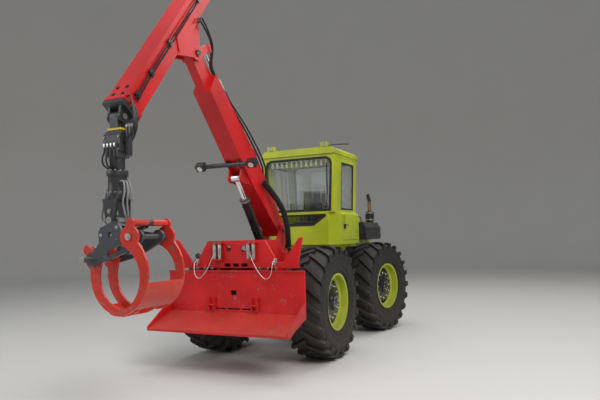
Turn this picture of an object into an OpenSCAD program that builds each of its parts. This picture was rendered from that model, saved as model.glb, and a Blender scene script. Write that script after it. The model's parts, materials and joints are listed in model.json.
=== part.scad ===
// Forestry crane skidder: a rigid-frame, front-steered tractor with a rear timber crane, a twin rope
// winch and a lifting rear blade. All places are given from the middle of the rear axle, x forward,
// y to the left and z up from the ground, and place() moves them so that the origin is the middle
// of the floor under the whole machine.

/* [Wheels and axles] */
// Distance from the rear to the front axle
wheelbase = 2950; // [2700:50:3300]
// Diameter over the tyre lugs
tyre_d = 1800; // [1700:10:1840]
// Width of a tyre
tyre_w = 620; // [540:10:640]
// Diameter of the rim over its flanges
rim_d = 870; // [800:10:900]
// Distance between the middles of the two tyres of an axle
track = 1930; // [1900:10:2000]
// Steering angle as it stands, to the right
steer_rest = 11; // [0:1:14]
// Distance between the two steering pivots
kingpin_gap = 1240; // [1200:10:1280]

/* [Frame] */
// Half width over the frame rails
frame_half_w = 230; // [200:5:240]
// Underside of the rails
frame_z = 1060; // [1040:5:1080]
// Height of the rails
rail_h = 270; // [220:10:300]
// Thickness of the rail plates
rail_t = 30; // [20:2:40]
// Front end of the rails
frame_front = 4150; // [3900:50:4300]
// Bore of the front towing jaw
tow_bore_d = 42; // [30:1:50]

/* [Cab] */
// Rear face of the cab
cab_rear_x = 1200; // [1150:10:1260]
// Length of the cab
cab_len = 1250; // [1150:10:1350]
// Half width over the lower cab sides
cab_half_w = 760; // [720:5:780]
// Underside of the cab
cab_floor_z = 1850; // [1830:5:1880]
// Height of the shoulder where the windows start
cab_waist_z = 2400; // [2350:10:2450]
// Top of the cab walls
cab_top_z = 3500; // [3400:10:3600]
// Thickness of the cab walls and doors
cab_wall = 40; // [30:2:50]
// Thickness of the glass
glass_t = 6; // [4:1:8]

/* [Rear winch frame and blade] */
// Rear face of the winch frame
tower_x = -1100; // [-1150:10:-1060]
// Top of the cross beam
tower_top_z = 1920; // [1850:10:2000]
// Half width over the horns
horn_half_w = 1130; // [1050:10:1180]
// Half width of the blade
blade_half_w = 1190; // [1100:10:1230]
// Top edge of the blade
blade_top_z = 1470; // [1420:5:1480]
// Height of the blade's upright face
blade_face_h = 590; // [500:10:620]
// Front edge of the blade's lip, its distance behind the face
lip_reach = 580; // [450:10:620]

/* [Crane] */
// Place of the slewing axis
column_x = 60; // [0:10:120]
// Height of the boom's foot pin
boom_pin_z = 2080; // [2000:10:2150]
// Length of the boom from foot pin to knuckle pin
boom_len = 3390; // [3200:10:3500]
// Elevation of the boom as it stands
boom_el = 46; // [40:1:50]
// Width of the boom box
boom_w = 300; // [260:10:320]
// Width of the stick box
stick_w = 280; // [240:10:300]
// Depth of the stick box
stick_h = 310; // [260:10:340]
// Slope of the stick below the horizontal as it stands
stick_el = 53; // [48:1:58]
// Height of the stick's middle line over the knuckle pin
stick_offset = 442; // [420:2:480]
// Length of the stick box behind the knuckle pin
stick_back = 1000; // [900:20:1100]
// Length of the stick box beyond the knuckle pin
stick_front = 1640; // [1500:20:1700]
// Reach of the hanger pin beyond the stick box
extension_out = 130; // [110:5:160]

/* [Grapple] */
// Length of the hanger from pin to rotator
hanger_len = 620; // [560:10:680]
// Height of the rotator down to the head's tilting pin
rotator_h = 560; // [520:10:620]
// Tilt of the grapple head as it stands
head_tilt = 20; // [0:1:20]
// Distance between the two jaw pins
jaw_gap = 700; // [640:10:760]
// Inner radius of the closed jaws
jaw_r = 360; // [320:5:400]
// Width of the outer jaw over its two plates
jaw_w = 620; // [560:10:680]
// Thickness of the jaw plates
jaw_t = 28; // [20:1:32]

/* [Hidden] */
$fn = 48;

lime = [0.62, 0.70, 0.12];
red = [0.78, 0.13, 0.07];
dark = [0.10, 0.10, 0.11];
steel = [0.62, 0.62, 0.60];
rubber = [0.12, 0.11, 0.10];
clear = [0.6, 0.75, 0.8, 0.4];

// Distance from the rear axle back to the middle of the machine's length
middle_x = 330;
// Small gap between pieces that move past each other
gap = 5;
// Gap between pieces that rest on each other
seat_gap = 0.3;
// Gap round rods and pins
rod_gap = 1;
// Depth by which a cutting shape runs past the face that it cuts
cut = 1;

hub_z = tyre_d / 2;
front_x = wheelbase;
rail_top = frame_z + rail_h;
cab_front_x = cab_rear_x + cab_len;

module place() {
    translate([-middle_x, 0, 0]) children();
}

// A block between two corners
module block(x0, x1, y0, y1, z0, z1) {
    translate([x0, y0, z0]) cube([x1 - x0, y1 - y0, z1 - z0]);
}

// Copies on the left and on the right
module both_sides() {
    children();
    mirror([0, 1, 0]) children();
}

// An outline drawn in x and z, as thick as from y0 to y1
module slab_y(y0, y1) {
    translate([0, y1, 0]) rotate([90, 0, 0]) linear_extrude(y1 - y0) children();
}

// An outline drawn in y and z, as thick as from x0 to x1
module slab_x(x0, x1) {
    translate([x0, 0, 0]) rotate([90, 0, 90]) linear_extrude(x1 - x0) children();
}

module round_x(d, x0, x1) {
    translate([x0, 0, 0]) rotate([0, 90, 0]) cylinder(h = x1 - x0, d = d);
}

module round_y(d, y0, y1) {
    translate([0, y1, 0]) rotate([90, 0, 0]) cylinder(h = y1 - y0, d = d);
}

// A rectangle with round corners, from its lower left corner
module soft_rect(w, h, r) {
    translate([r, 0]) square([w - 2 * r, h]);
    translate([0, r]) square([w, h - 2 * r]);
    for (x = [r, w - r], y = [r, h - r]) translate([x, y]) circle(r);
}

// A flat bar with round ends between two points of an outline
module strap(a, b, w) {
    dir = b - a;
    translate(a) circle(d = w);
    translate(b) circle(d = w);
    translate(a) rotate(atan2(dir[1], dir[0])) translate([0, -w / 2]) square([norm(dir), w]);
}

// Frame

bumper_l = 260;
bumper_half_w = 420;
bumper_z0 = 900;
bumper_h = 420;
jaw_plate_l = 150;
jaw_plate_t = 30;
tow_gap = 90;
frame_rear = -620;
guide_tube_d = 90;
guide_tube_x = frame_rear - 60;
cross_t = 40;
saddle_l = 320;
axle_beam_d = 200;
tow_back_x = frame_front + bumper_l + seat_gap;
tow_pin_x = tow_back_x + jaw_plate_l / 2 + 10;
tow_z = 1130;
pad_t = 30;
pad_h = 180;
pad_y0 = 140;
pad_y1 = 320;

module frame() {
    color(dark) place() {
        both_sides() block(frame_rear, frame_front, frame_half_w - rail_t, frame_half_w, frame_z, rail_top);
        for (x = [frame_rear, 720, 1500, 2300, frame_front - cross_t])
            block(x, x + cross_t, -frame_half_w, frame_half_w, frame_z, rail_top);
        // Belly plate between the axles
        slab_y(-frame_half_w, frame_half_w)
            polygon([[340, frame_z], [520, frame_z - 180], [front_x - 620, frame_z - 180],
                [front_x - 440, frame_z]]);
        // Saddles that the axles are bolted to
        for (x = [0, front_x])
            both_sides() block(x - saddle_l / 2, x + saddle_l / 2, frame_half_w - rail_t, frame_half_w,
                hub_z + axle_beam_d / 2 + seat_gap, frame_z + cut);
        // Front weight
        difference() {
            slab_y(-bumper_half_w, bumper_half_w)
                polygon([[frame_front, bumper_z0 + 60], [frame_front + 60, bumper_z0],
                    [frame_front + bumper_l, bumper_z0 + 90],
                    [frame_front + bumper_l, bumper_z0 + bumper_h - 60],
                    [frame_front + bumper_l - 60, bumper_z0 + bumper_h],
                    [frame_front, bumper_z0 + bumper_h]]);
            both_sides() slab_x(frame_front - cut, frame_front + bumper_l + cut)
                polygon([[bumper_half_w - 70, bumper_z0 - cut], [bumper_half_w + cut, bumper_z0 - cut],
                    [bumper_half_w + cut, bumper_z0 + 120]]);
        }
        // Pads for a bolted weight, each side of the towing jaw
        both_sides() block(frame_front + bumper_l - cut, frame_front + bumper_l + pad_t, pad_y0, pad_y1,
            tow_z - pad_h / 2, tow_z + pad_h / 2);
        // Cross tubes of the blade's guides
        for (z = [frame_z + 60, rail_top - 60])
            translate([guide_tube_x, 0, z]) round_y(guide_tube_d, -guide_y - 60, guide_y + 60);
        both_sides() block(frame_rear - 140, frame_rear + cut, frame_half_w - rail_t - 60, frame_half_w,
            frame_z, rail_top);
    }
}

module tow_jaw() {
    color(dark) place() {
        for (side = [-1, 1])
            translate([0, 0, tow_z + side * (tow_gap + jaw_plate_t) / 2 - jaw_plate_t / 2])
                tow_plate();
        block(tow_back_x, tow_back_x + 24, -80, 80, tow_z - tow_gap / 2 - jaw_plate_t - 20,
            tow_z + tow_gap / 2 + jaw_plate_t + 20);
    }
}

module tow_plate() {
    translate([tow_pin_x, 0, 0]) difference() {
        union() {
            cylinder(h = jaw_plate_t, d = 130);
            translate([tow_back_x - tow_pin_x, -65, 0]) cube([tow_pin_x - tow_back_x, 130, jaw_plate_t]);
        }
        translate([0, 0, -cut]) cylinder(h = jaw_plate_t + 2 * cut, d = tow_bore_d);
    }
}

// Axles and knuckles

kingpin_y = kingpin_gap / 2;
hub_face_y = 745;
beam_end_y = 690;
diff_d = 420;
knuckle_h = 220;
fork_t = 60;
kingpin_d = 70;

module diff_housing() {
    translate([0, 0, hub_z]) {
        rotate([0, 90, 0]) cylinder(h = 300, d = diff_d - 40, center = true);
        rotate([0, 90, 0]) cylinder(h = 320, d = 220, center = true);
    }
}

module rear_axle() {
    color(dark) place() {
        translate([0, 0, hub_z]) round_y(axle_beam_d, -beam_end_y, beam_end_y);
        both_sides() translate([0, 0, hub_z]) {
            round_y(260, 480, 560);
            round_y(330, beam_end_y - 40, beam_end_y);
            round_y(250, beam_end_y - 1, hub_face_y - seat_gap);
        }
        diff_housing();
    }
}

module front_axle() {
    color(dark) place() translate([front_x, 0, 0]) difference() {
        union() {
            translate([0, 0, hub_z]) round_y(axle_beam_d, -kingpin_y + 150, kingpin_y - 150);
            diff_housing();
            both_sides() {
                // Fork round the knuckle
                for (z = [-1, 1])
                    translate([0, kingpin_y, hub_z + z * (knuckle_h / 2 + gap + fork_t / 2)]) {
                        cylinder(h = fork_t, d = 150, center = true);
                        translate([-75, -190, -fork_t / 2]) cube([150, 190, fork_t]);
                    }
                block(-75, 75, kingpin_y - 190, kingpin_y - 130,
                    hub_z - knuckle_h / 2 - gap - fork_t, hub_z + knuckle_h / 2 + gap + fork_t);
                block(tie_x - front_x, -60, 90, 120, arm_z - 30, arm_z + 30);
            }
            // Double-ended steering cylinder behind the beam
            translate([tie_x - front_x, 0, arm_z]) round_y(90, -190, 190);
        }
        both_sides() translate([0, kingpin_y, hub_z]) cylinder(h = 600, d = kingpin_d, center = true);
        translate([tie_x - front_x, 0, arm_z]) round_y(tie_d + 2 * rod_gap, -300, 300);
    }
}

// Steering arm and rod, behind the axle
arm_back = 190;
arm_in = 60;
arm_t = 24;
arm_z = hub_z + 20;
tie_d = 40;
tie_eye = 70;

module knuckle(side) {
    translate([front_x, side * kingpin_y, 0]) rotate(-steer_rest) mirror([0, side < 0 ? 1 : 0, 0]) {
        translate([0, 0, hub_z]) cylinder(h = knuckle_h, d = 140, center = true);
        translate([0, 0, hub_z]) cylinder(h = knuckle_h + 2 * gap + 2 * fork_t, d = kingpin_d - 2 * rod_gap,
            center = true);
        translate([0, 0, hub_z]) {
            round_y(150, 0, 70);
            round_y(200, 60, hub_face_y - kingpin_y - seat_gap);
        }
        // Steering arm
        translate([0, 0, arm_z - arm_t / 2]) linear_extrude(arm_t)
            strap([-20, -10], [-arm_back, -arm_in], 60);
    }
}

module knuckle_left() {
    color(dark) place() knuckle(1);
}

module knuckle_right() {
    color(dark) place() knuckle(-1);
}

// The rod stands where the arms' ends are at rest
tie_shift = arm_back * sin(steer_rest);
tie_half = kingpin_y - arm_in * cos(steer_rest);
tie_x = front_x - arm_back * cos(steer_rest);

module tie_rod() {
    color(steel) place() translate([tie_x, tie_shift, arm_z]) {
        both_sides() {
            for (z = [-1, 1]) translate([0, tie_half, z * (arm_t / 2 + gap + 8)]) {
                cylinder(h = 16, d = tie_eye, center = true);
                translate([-30, -90, -8]) cube([60, 90, 16]);
            }
            block(-30, 30, tie_half - 100, tie_half - 70, -arm_t / 2 - gap - 16, arm_t / 2 + gap + 16);
        }
        round_y(tie_d, -tie_half + 90, tie_half - 90);
    }
}

// Wheels, drawn round the z axis with the outer face up and the hub face at zero

wheel_out = track / 2 + tyre_w / 2;
tyre_mid = track / 2 - hub_face_y;
bead_half = tyre_w / 2 - 70;

module tyre_shape() {
    translate([0, 0, tyre_mid]) rotate_extrude($fn = 64) {
        polygon([[rim_d / 2 + seat_gap, -bead_half], [tyre_d / 2 - 250, -tyre_w / 2 + 10],
            [tyre_d / 2 - 110, -tyre_w / 2], [tyre_d / 2 - 20, -tyre_w / 2 + 40],
            [tyre_d / 2, -tyre_w / 4], [tyre_d / 2, tyre_w / 4], [tyre_d / 2 - 20, tyre_w / 2 - 40],
            [tyre_d / 2 - 110, tyre_w / 2], [tyre_d / 2 - 250, tyre_w / 2 - 10],
            [rim_d / 2 + seat_gap, bead_half]]);
    }
}

rim_t = 14;
disc_z = 60;

module rim_shape() {
    difference() {
        union() {
            // Rim with its flanges and well
            translate([0, 0, tyre_mid]) rotate_extrude($fn = 64)
                polygon([[rim_d / 2, -bead_half - 8], [rim_d / 2, bead_half + 8],
                    [rim_d / 2 + 20, bead_half + 12], [rim_d / 2 + 20, bead_half + 26],
                    [rim_d / 2 - rim_t, bead_half + 22], [rim_d / 2 - rim_t, 150],
                    [rim_d / 2 - 60, 120], [rim_d / 2 - 60, -60], [rim_d / 2 - rim_t, -90],
                    [rim_d / 2 - rim_t, -bead_half - 22], [rim_d / 2 + 20, -bead_half - 26],
                    [rim_d / 2 + 20, -bead_half - 12]]);
            // Dished disc and hub
            rotate_extrude($fn = 64)
                polygon([[0, 0], [190, 0], [190, disc_z - 25], [rim_d / 2 - rim_t + 4, disc_z + 60],
                    [rim_d / 2 - rim_t + 4, disc_z + 85], [190, disc_z + 10], [175, disc_z + 10],
                    [160, disc_z + 60], [120, disc_z + 75], [110, disc_z + 150], [60, disc_z + 170],
                    [0, disc_z + 170]]);
        }
    }
}

// A wheel at its axle, its outer face away from the machine
module at_wheel(x, side) {
    turned = x > wheelbase / 2 ? -steer_rest : 0;
    translate([x, side * kingpin_y, hub_z]) rotate(turned)
        translate([0, side * (hub_face_y - kingpin_y), 0]) rotate([-side * 90, 0, 0]) children();
}

module rim_rear_left() { color(lime) place() at_wheel(0, 1) rim_shape(); }
module rim_rear_right() { color(lime) place() at_wheel(0, -1) rim_shape(); }
module rim_front_left() { color(lime) place() at_wheel(front_x, 1) rim_shape(); }
module rim_front_right() { color(lime) place() at_wheel(front_x, -1) rim_shape(); }
module tyre_rear_left() { color(rubber) place() at_wheel(0, 1) tyre_shape(); }
module tyre_rear_right() { color(rubber) place() at_wheel(0, -1) tyre_shape(); }
module tyre_front_left() { color(rubber) place() at_wheel(front_x, 1) tyre_shape(); }
module tyre_front_right() { color(rubber) place() at_wheel(front_x, -1) tyre_shape(); }

// Engine, hood and what stands beside it

hood_half_w = 480;
hood_wall = 20;
hood_top_z = 2330;
hood_z = 1720;
hood_front = 4000;
hood_drop = 110;
engine_half_w = frame_half_w - rail_t - seat_gap;

module engine() {
    color(steel) place() block(2700, 3650, -engine_half_w, engine_half_w, rail_top - 200, 2050);
}

module hood_outline(inset) {
    polygon([[cab_front_x + seat_gap - cut * inset, hood_z - cut * inset],
        [cab_front_x + seat_gap - cut * inset, hood_top_z - inset],
        [hood_front - 200, hood_top_z - hood_drop * 0.7 - inset],
        [hood_front - inset, hood_top_z - hood_drop * 1.6 - inset],
        [hood_front - inset, hood_z - cut * inset]]);
}

louvre_n = 7;
louvre_pitch = 60;

module hood() {
    color(lime) place() difference() {
        slab_y(-hood_half_w, hood_half_w) hood_outline(0);
        slab_y(-hood_half_w + hood_wall, hood_half_w - hood_wall) hood_outline(hood_wall);
        // Grille mouth
        block(hood_front - hood_wall - cut, hood_front + cut, -hood_half_w + 70, hood_half_w - 70,
            hood_z + 60, hood_top_z - hood_drop * 1.6 - 60);
        // Slanted slots in the sides
        for (i = [0:louvre_n - 1])
            translate([3000 + i * louvre_pitch, 0, hood_z + 180])
                slab_y(-hood_half_w - cut, hood_half_w + cut)
                    polygon([[0, 0], [22, 0], [52, 220], [30, 220]]);
    }
}

grille_slats = 9;

module grille() {
    color(dark) place() {
        // Radiator that carries the front of the hood
        block(hood_front - 170, hood_front - hood_wall - seat_gap, -hood_half_w + hood_wall + seat_gap,
            hood_half_w - hood_wall - seat_gap, rail_top + seat_gap, hood_z + 300);
        z0 = hood_z + 62;
        h = hood_top_z - hood_drop * 1.6 - 60 - z0 - 2;
        difference() {
            block(hood_front - hood_wall - 10, hood_front + 24, -hood_half_w + 72, hood_half_w - 72, z0, z0 + h);
            for (i = [0:grille_slats - 1])
                block(hood_front + 2, hood_front + 30, -hood_half_w + 95, hood_half_w - 95,
                    z0 + 18 + i * (h - 30) / grille_slats, z0 + 18 + i * (h - 30) / grille_slats + 14);
        }
    }
}

box_in = hood_half_w + seat_gap;
box_x0 = 2900;
box_x1 = 3950;
box_z0 = 1850;
box_z1 = 2230;

module side_boxes() {
    color(dark) place() both_sides() difference() {
        slab_x(box_x0, box_x1)
            polygon([[box_in, box_z0], [cab_half_w - 30, box_z0], [cab_half_w, box_z0 + 30],
                [cab_half_w, box_z1 - 120], [cab_half_w - 70, box_z1], [box_in, box_z1]]);
        // Lid joint
        block(box_x0 - cut, box_x1 + cut, cab_half_w - 6, cab_half_w + cut, box_z1 - 138, box_z1 - 132);
    }
}

silencer_x = 3650;
silencer_y = -(box_in + 130);
silencer_d = 200;
pipe_d = 76;

module silencer() {
    color(dark) place() translate([silencer_x, silencer_y, box_z1 + seat_gap]) {
        cylinder(h = 40, d = silencer_d - 40);
        translate([0, 0, 30]) cylinder(h = 200, d = silencer_d);
        translate([0, 0, 230]) cylinder(h = 30, d1 = silencer_d, d2 = 90);
        translate([0, 0, 255]) cylinder(h = 245, d = pipe_d);
        // Outlet turned to the rear
        translate([0, 0, 485]) rotate([0, -35, 0]) difference() {
            cylinder(h = 160, d = pipe_d + 4);
            translate([0, 0, 60]) cylinder(h = 101, d = pipe_d - 10);
        }
    }
}

// Cab

rear_corner_y = 600;
rear_corner_x = cab_rear_x + 230;
shoulder = 60;
roof_half_w = cab_half_w - 10;
waist_half_w = cab_half_w - shoulder;
door_x0 = cab_rear_x + 330;
door_x1 = cab_front_x - 90;
door_z0 = cab_floor_z + 20;
door_z1 = cab_top_z - 60;
seam = 6;
skirt_front = 2130;

hinge_d = 24;
hinge_h = 50;
leaf_l = cab_front_x - cab_wall - door_x1 - seam;
hinge_y = cab_half_w + 14;
hinge_zs = [1960, 2240];

// One leaf and barrel of each door hinge, from the given side of the hinge line
module hinge_leaf(side, z_shift) {
    for (z = hinge_zs) translate([door_x1 + seam / 2, hinge_y, z + z_shift]) {
        cylinder(h = hinge_h, d = hinge_d);
        block(side > 0 ? 0 : -leaf_l, side > 0 ? leaf_l : 0, -15, -6, 0, hinge_h);
    }
}

// Section of a cab side, outer line and inner line
module side_section(out, thick) {
    polygon([[cab_half_w + out, cab_floor_z], [cab_half_w + out, cab_waist_z - 40],
        [waist_half_w + out, cab_waist_z + 20], [roof_half_w + out, cab_top_z],
        [roof_half_w + out - thick, cab_top_z], [waist_half_w + out - thick, cab_waist_z + 20],
        [cab_half_w + out - thick, cab_waist_z - 40], [cab_half_w + out - thick, cab_floor_z]]);
}

// Plan of the cab's outline with its rear corner cut off
module cab_plan(x0, x1, half_w) {
    polygon([[x0, -rear_corner_y], [rear_corner_x, -half_w], [x1, -half_w], [x1, half_w],
        [rear_corner_x, half_w], [x0, rear_corner_y]]);
}

module cab_base() {
    color(lime) place() difference() {
        union() {
            // Floor pan
            translate([0, 0, cab_floor_z - 60]) linear_extrude(60) cab_plan(cab_rear_x, cab_front_x, cab_half_w);
            // Sloped skirt down to the frame
            slab_x(cab_rear_x + 60, skirt_front)
                polygon([[-420, rail_top + seat_gap], [420, rail_top + seat_gap],
                    [620, cab_floor_z - 59], [-620, cab_floor_z - 59]]);
        }
        // Room for the gear train
        slab_x(cab_rear_x + 59, skirt_front + cut)
            polygon([[-330, rail_top - cut], [330, rail_top - cut], [420, cab_floor_z - 120],
                [-420, cab_floor_z - 120]]);
    }
}

// Rear wall: window frame above the waist, panel with a low window below it
win_top = cab_top_z - 60;
win_z0 = cab_waist_z + 30;
low_win_top = cab_waist_z - 30;
low_win_z0 = low_win_top - 210;

module rear_window(inset) {
    y_top = roof_half_w - 55 - inset;
    y_low = waist_half_w - 45 - inset;
    polygon([[-y_low, win_z0 + inset], [y_low, win_z0 + inset], [y_top, win_top - 120 - inset],
        [y_top - 30, win_top - 40 - inset], [y_top - 110, win_top - inset],
        [-y_top + 110, win_top - inset], [-y_top + 30, win_top - 40 - inset],
        [-y_top, win_top - 120 - inset]]);
}

module low_window(inset) {
    y_top = rear_corner_y - 50 - inset;
    y_low = rear_corner_y - 300 - inset * 0.6;
    polygon([[-y_low, low_win_z0 + inset], [y_low, low_win_z0 + inset], [y_top, low_win_top - 40],
        [y_top - 20, low_win_top - inset], [-y_top + 20, low_win_top - inset],
        [-y_top, low_win_top - 40]]);
}

module cab_rear_wall() {
    color(lime) place() difference() {
        union() {
            // Lower panel with its two cut corners
            translate([0, 0, cab_floor_z]) linear_extrude(cab_waist_z - cab_floor_z)
                difference() {
                    cab_plan(cab_rear_x, rear_corner_x, cab_half_w);
                    polygon([[cab_rear_x + cab_wall, -rear_corner_y + 16],
                        [rear_corner_x + cut, -cab_half_w + cab_wall + 6],
                        [rear_corner_x + cut, cab_half_w - cab_wall - 6],
                        [cab_rear_x + cab_wall, rear_corner_y - 16]]);
                }
            // Rail at the waist
            block(cab_rear_x - 14, cab_rear_x + cab_wall, -rear_corner_y, rear_corner_y,
                cab_waist_z - 30, cab_waist_z + 5);
            // Window frame
            slab_x(cab_rear_x, cab_rear_x + cab_wall)
                polygon([[-waist_half_w, cab_waist_z - cut], [waist_half_w, cab_waist_z - cut],
                    [waist_half_w, cab_waist_z + 20], [roof_half_w, cab_top_z], [-roof_half_w, cab_top_z],
                    [-waist_half_w, cab_waist_z + 20]]);
        }
        slab_x(cab_rear_x - 20, cab_rear_x + cab_wall + 20) rear_window(0);
        slab_x(cab_rear_x - 20, cab_rear_x + cab_wall + 20) low_window(0);
    }
}

module front_window(inset) {
    y_top = roof_half_w - 70 - inset;
    y_low = waist_half_w - 60 - inset;
    polygon([[-y_low, cab_waist_z + inset], [y_low, cab_waist_z + inset], [y_top, win_top - 80 - inset],
        [y_top - 80, win_top - inset], [-y_top + 80, win_top - inset], [-y_top, win_top - 80 - inset]]);
}

module cab_front_wall() {
    color(lime) place() difference() {
        slab_x(cab_front_x - cab_wall, cab_front_x)
            polygon([[-cab_half_w, cab_floor_z], [cab_half_w, cab_floor_z], [cab_half_w, cab_waist_z - 40],
                [waist_half_w, cab_waist_z + 20], [roof_half_w, cab_top_z], [-roof_half_w, cab_top_z],
                [-waist_half_w, cab_waist_z + 20], [-cab_half_w, cab_waist_z - 40]]);
        slab_x(cab_front_x - cab_wall - cut, cab_front_x + cut) front_window(0);
    }
}

// One side: sill, posts and head round the door
module cab_side() {
    difference() {
        union() {
            slab_x(rear_corner_x, cab_front_x - cab_wall) side_section(0, cab_wall);
            slab_x(cab_rear_x + cab_wall, rear_corner_x + cut) intersection() {
                side_section(0, cab_wall);
                translate([0, cab_waist_z + 5]) square([1000, 2000]);
            }
        }
        slab_x(door_x0 - seam, door_x1 + seam)
            polygon([[500, door_z0 - seam], [1000, door_z0 - seam], [1000, door_z1 + seam],
                [500, door_z1 + seam]]);
    }
}

module cab_side_part() {
    cab_side();
    hinge_leaf(1, hinge_h + seat_gap);
}

module cab_side_left() { color(lime) place() cab_side_part(); }
module cab_side_right() { color(lime) place() mirror([0, 1, 0]) cab_side_part(); }

roof_h = 130;
roof_over = 30;
guard_n = 10;

module cab_roof() {
    color(lime) place() {
        slab_x(cab_rear_x - roof_over, cab_front_x + roof_over)
            polygon([[-roof_half_w - 15, cab_top_z], [roof_half_w + 15, cab_top_z],
                [roof_half_w + 15, cab_top_z + roof_h - 60], [roof_half_w - 60, cab_top_z + roof_h],
                [-roof_half_w + 60, cab_top_z + roof_h], [-roof_half_w - 15, cab_top_z + roof_h - 60]]);
        // Guard bars in the top of the roof window, behind the rear glass
        for (i = [0:guard_n - 1])
            translate([cab_rear_x + 240, -480 + i * 960 / (guard_n - 1), cab_top_z - 130])
                cylinder(h = 130 + cut, d = 14);
        block(cab_rear_x + 225, cab_rear_x + 255, -roof_half_w + 80, roof_half_w - 80,
            cab_top_z - 190, cab_top_z - 125);
        both_sides() block(cab_rear_x + 225, cab_rear_x + 255, roof_half_w - 120, roof_half_w - 80,
            cab_top_z - 190, cab_top_z + cut);
        // Working lamps along the rear edge
        both_sides() translate([cab_rear_x - roof_over + 20, 560, cab_top_z + roof_h - 1])
            block(-30, 60, -70, 70, 0, 90);
    }
}

module cab_glass() {
    glass_in = cab_wall / 2 - glass_t / 2;
    color(clear) place() {
        slab_x(cab_rear_x + glass_in, cab_rear_x + glass_in + glass_t) rear_window(seat_gap);
        slab_x(cab_rear_x + glass_in, cab_rear_x + glass_in + glass_t) low_window(seat_gap);
        slab_x(cab_front_x - cab_wall + glass_in, cab_front_x - cab_wall + glass_in + glass_t)
            front_window(seat_gap);
    }
}

door_frame = 70;

module door_window_cut(inset) {
    slab_x(door_x0 + door_frame + inset, door_x1 - door_frame - inset)
        polygon([[400, cab_waist_z + 50 + inset], [1000, cab_waist_z + 50 + inset],
            [1000, door_z1 - door_frame - inset], [400, door_z1 - door_frame - inset]]);
}

module door() {
    difference() {
        intersection() {
            slab_x(door_x0, door_x1) side_section(0, cab_wall);
            block(door_x0, door_x1, 0, 1000, door_z0, door_z1);
        }
        door_window_cut(0);
    }
    hinge_leaf(-1, 0);
    // Handle
    translate([door_x0 + 70, cab_half_w - cut, cab_waist_z - 150]) {
        block(-15, 15, 0, 40, -15, 15);
        block(-15, 15, 25, 45, -15, 120);
    }
}

module door_glass() {
    intersection() {
        slab_x(door_x0, door_x1) side_section(-cab_wall / 2 + glass_t / 2, glass_t);
        door_window_cut(seat_gap);
    }
}

module door_left() { color(lime) place() door(); }
module door_right() { color(lime) place() mirror([0, 1, 0]) door(); }
module door_glass_left() { color(clear) place() door_glass(); }
module door_glass_right() { color(clear) place() mirror([0, 1, 0]) door_glass(); }

seat_x = cab_rear_x + 470;

module seat() {
    color(dark) place() translate([seat_x, 0, cab_floor_z + seat_gap]) {
        translate([0, 0, 0]) cylinder(h = 260, d = 180);
        block(-190, 190, -170, 170, 250, 300);
        slab_y(-240, 240) polygon([[-240, 300], [230, 300], [250, 330], [250, 390], [220, 410],
            [-200, 400], [-240, 380]]);
        slab_y(-220, 220) polygon([[230, 395], [300, 430], [350, 900], [330, 1010], [280, 1010],
            [250, 900], [200, 450]]);
        // Armrests with the control sticks on their ends
        both_sides() slab_y(250, 310) polygon([[-160, 560], [220, 590], [220, 640], [-160, 620]]);
        both_sides() translate([-110, 280, 600]) cylinder(h = 150, d = 34);
        both_sides() block(120, 180, 225, 260, 380, 600);
    }
}

module console() {
    color(dark) place() {
        // Rear control stand
        translate([cab_rear_x + 130, 0, cab_floor_z + seat_gap]) {
            slab_y(-330, 330) polygon([[-50, 0], [110, 0], [110, 190], [70, 230], [-50, 230]]);
        }
        // Front stand with the steering wheel
        translate([cab_front_x - cab_wall - seat_gap, 0, cab_floor_z + seat_gap]) {
            slab_y(-300, 300) polygon([[0, 0], [0, 620], [-140, 600], [-160, 0]]);
            translate([-90, 0, 560]) rotate([0, -50, 0]) {
                cylinder(h = 180, d = 60);
                translate([0, 0, 170]) rotate_extrude() translate([190, 0]) circle(16, $fn = 16);
                for (a = [0:120:240]) rotate(a) translate([0, -12, 160]) cube([185, 24, 16]);
            }
        }
    }
}

step_n = 4;

module steps() {
    color(dark) place() both_sides() {
        // Tank between the wheels with the steps in its face
        difference() {
            slab_x(1020, 1880)
                polygon([[frame_half_w + seat_gap, 840], [560, 840], [640, 920], [640, 1400],
                    [600, 1480], [520, 1480], [440, rail_top], [frame_half_w + seat_gap, rail_top]]);
            for (i = [0:step_n - 1])
                block(1300, 1680, 560, 700, 900 + i * 140, 1000 + i * 140);
        }
    }
}

// Rear winch frame with fairleads and horns

tower_t = 40;
tower_depth = 420;
tower_half_w = 510;
tower_low_z = blade_top_z + 30;
strip_t = 20;
window_z = 1660;
window_h = 200;
strip_top = tower_low_z + strip_t + seat_gap;
tower_back_x = tower_x + tower_t + seat_gap;
tower_in_w = tower_half_w - 30 - seat_gap;
valley_y = 770;
valley_z = 1590;
fairlead_y = 300;
roller_d = 60;
plate_foot_z = frame_z + 40;

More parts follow.
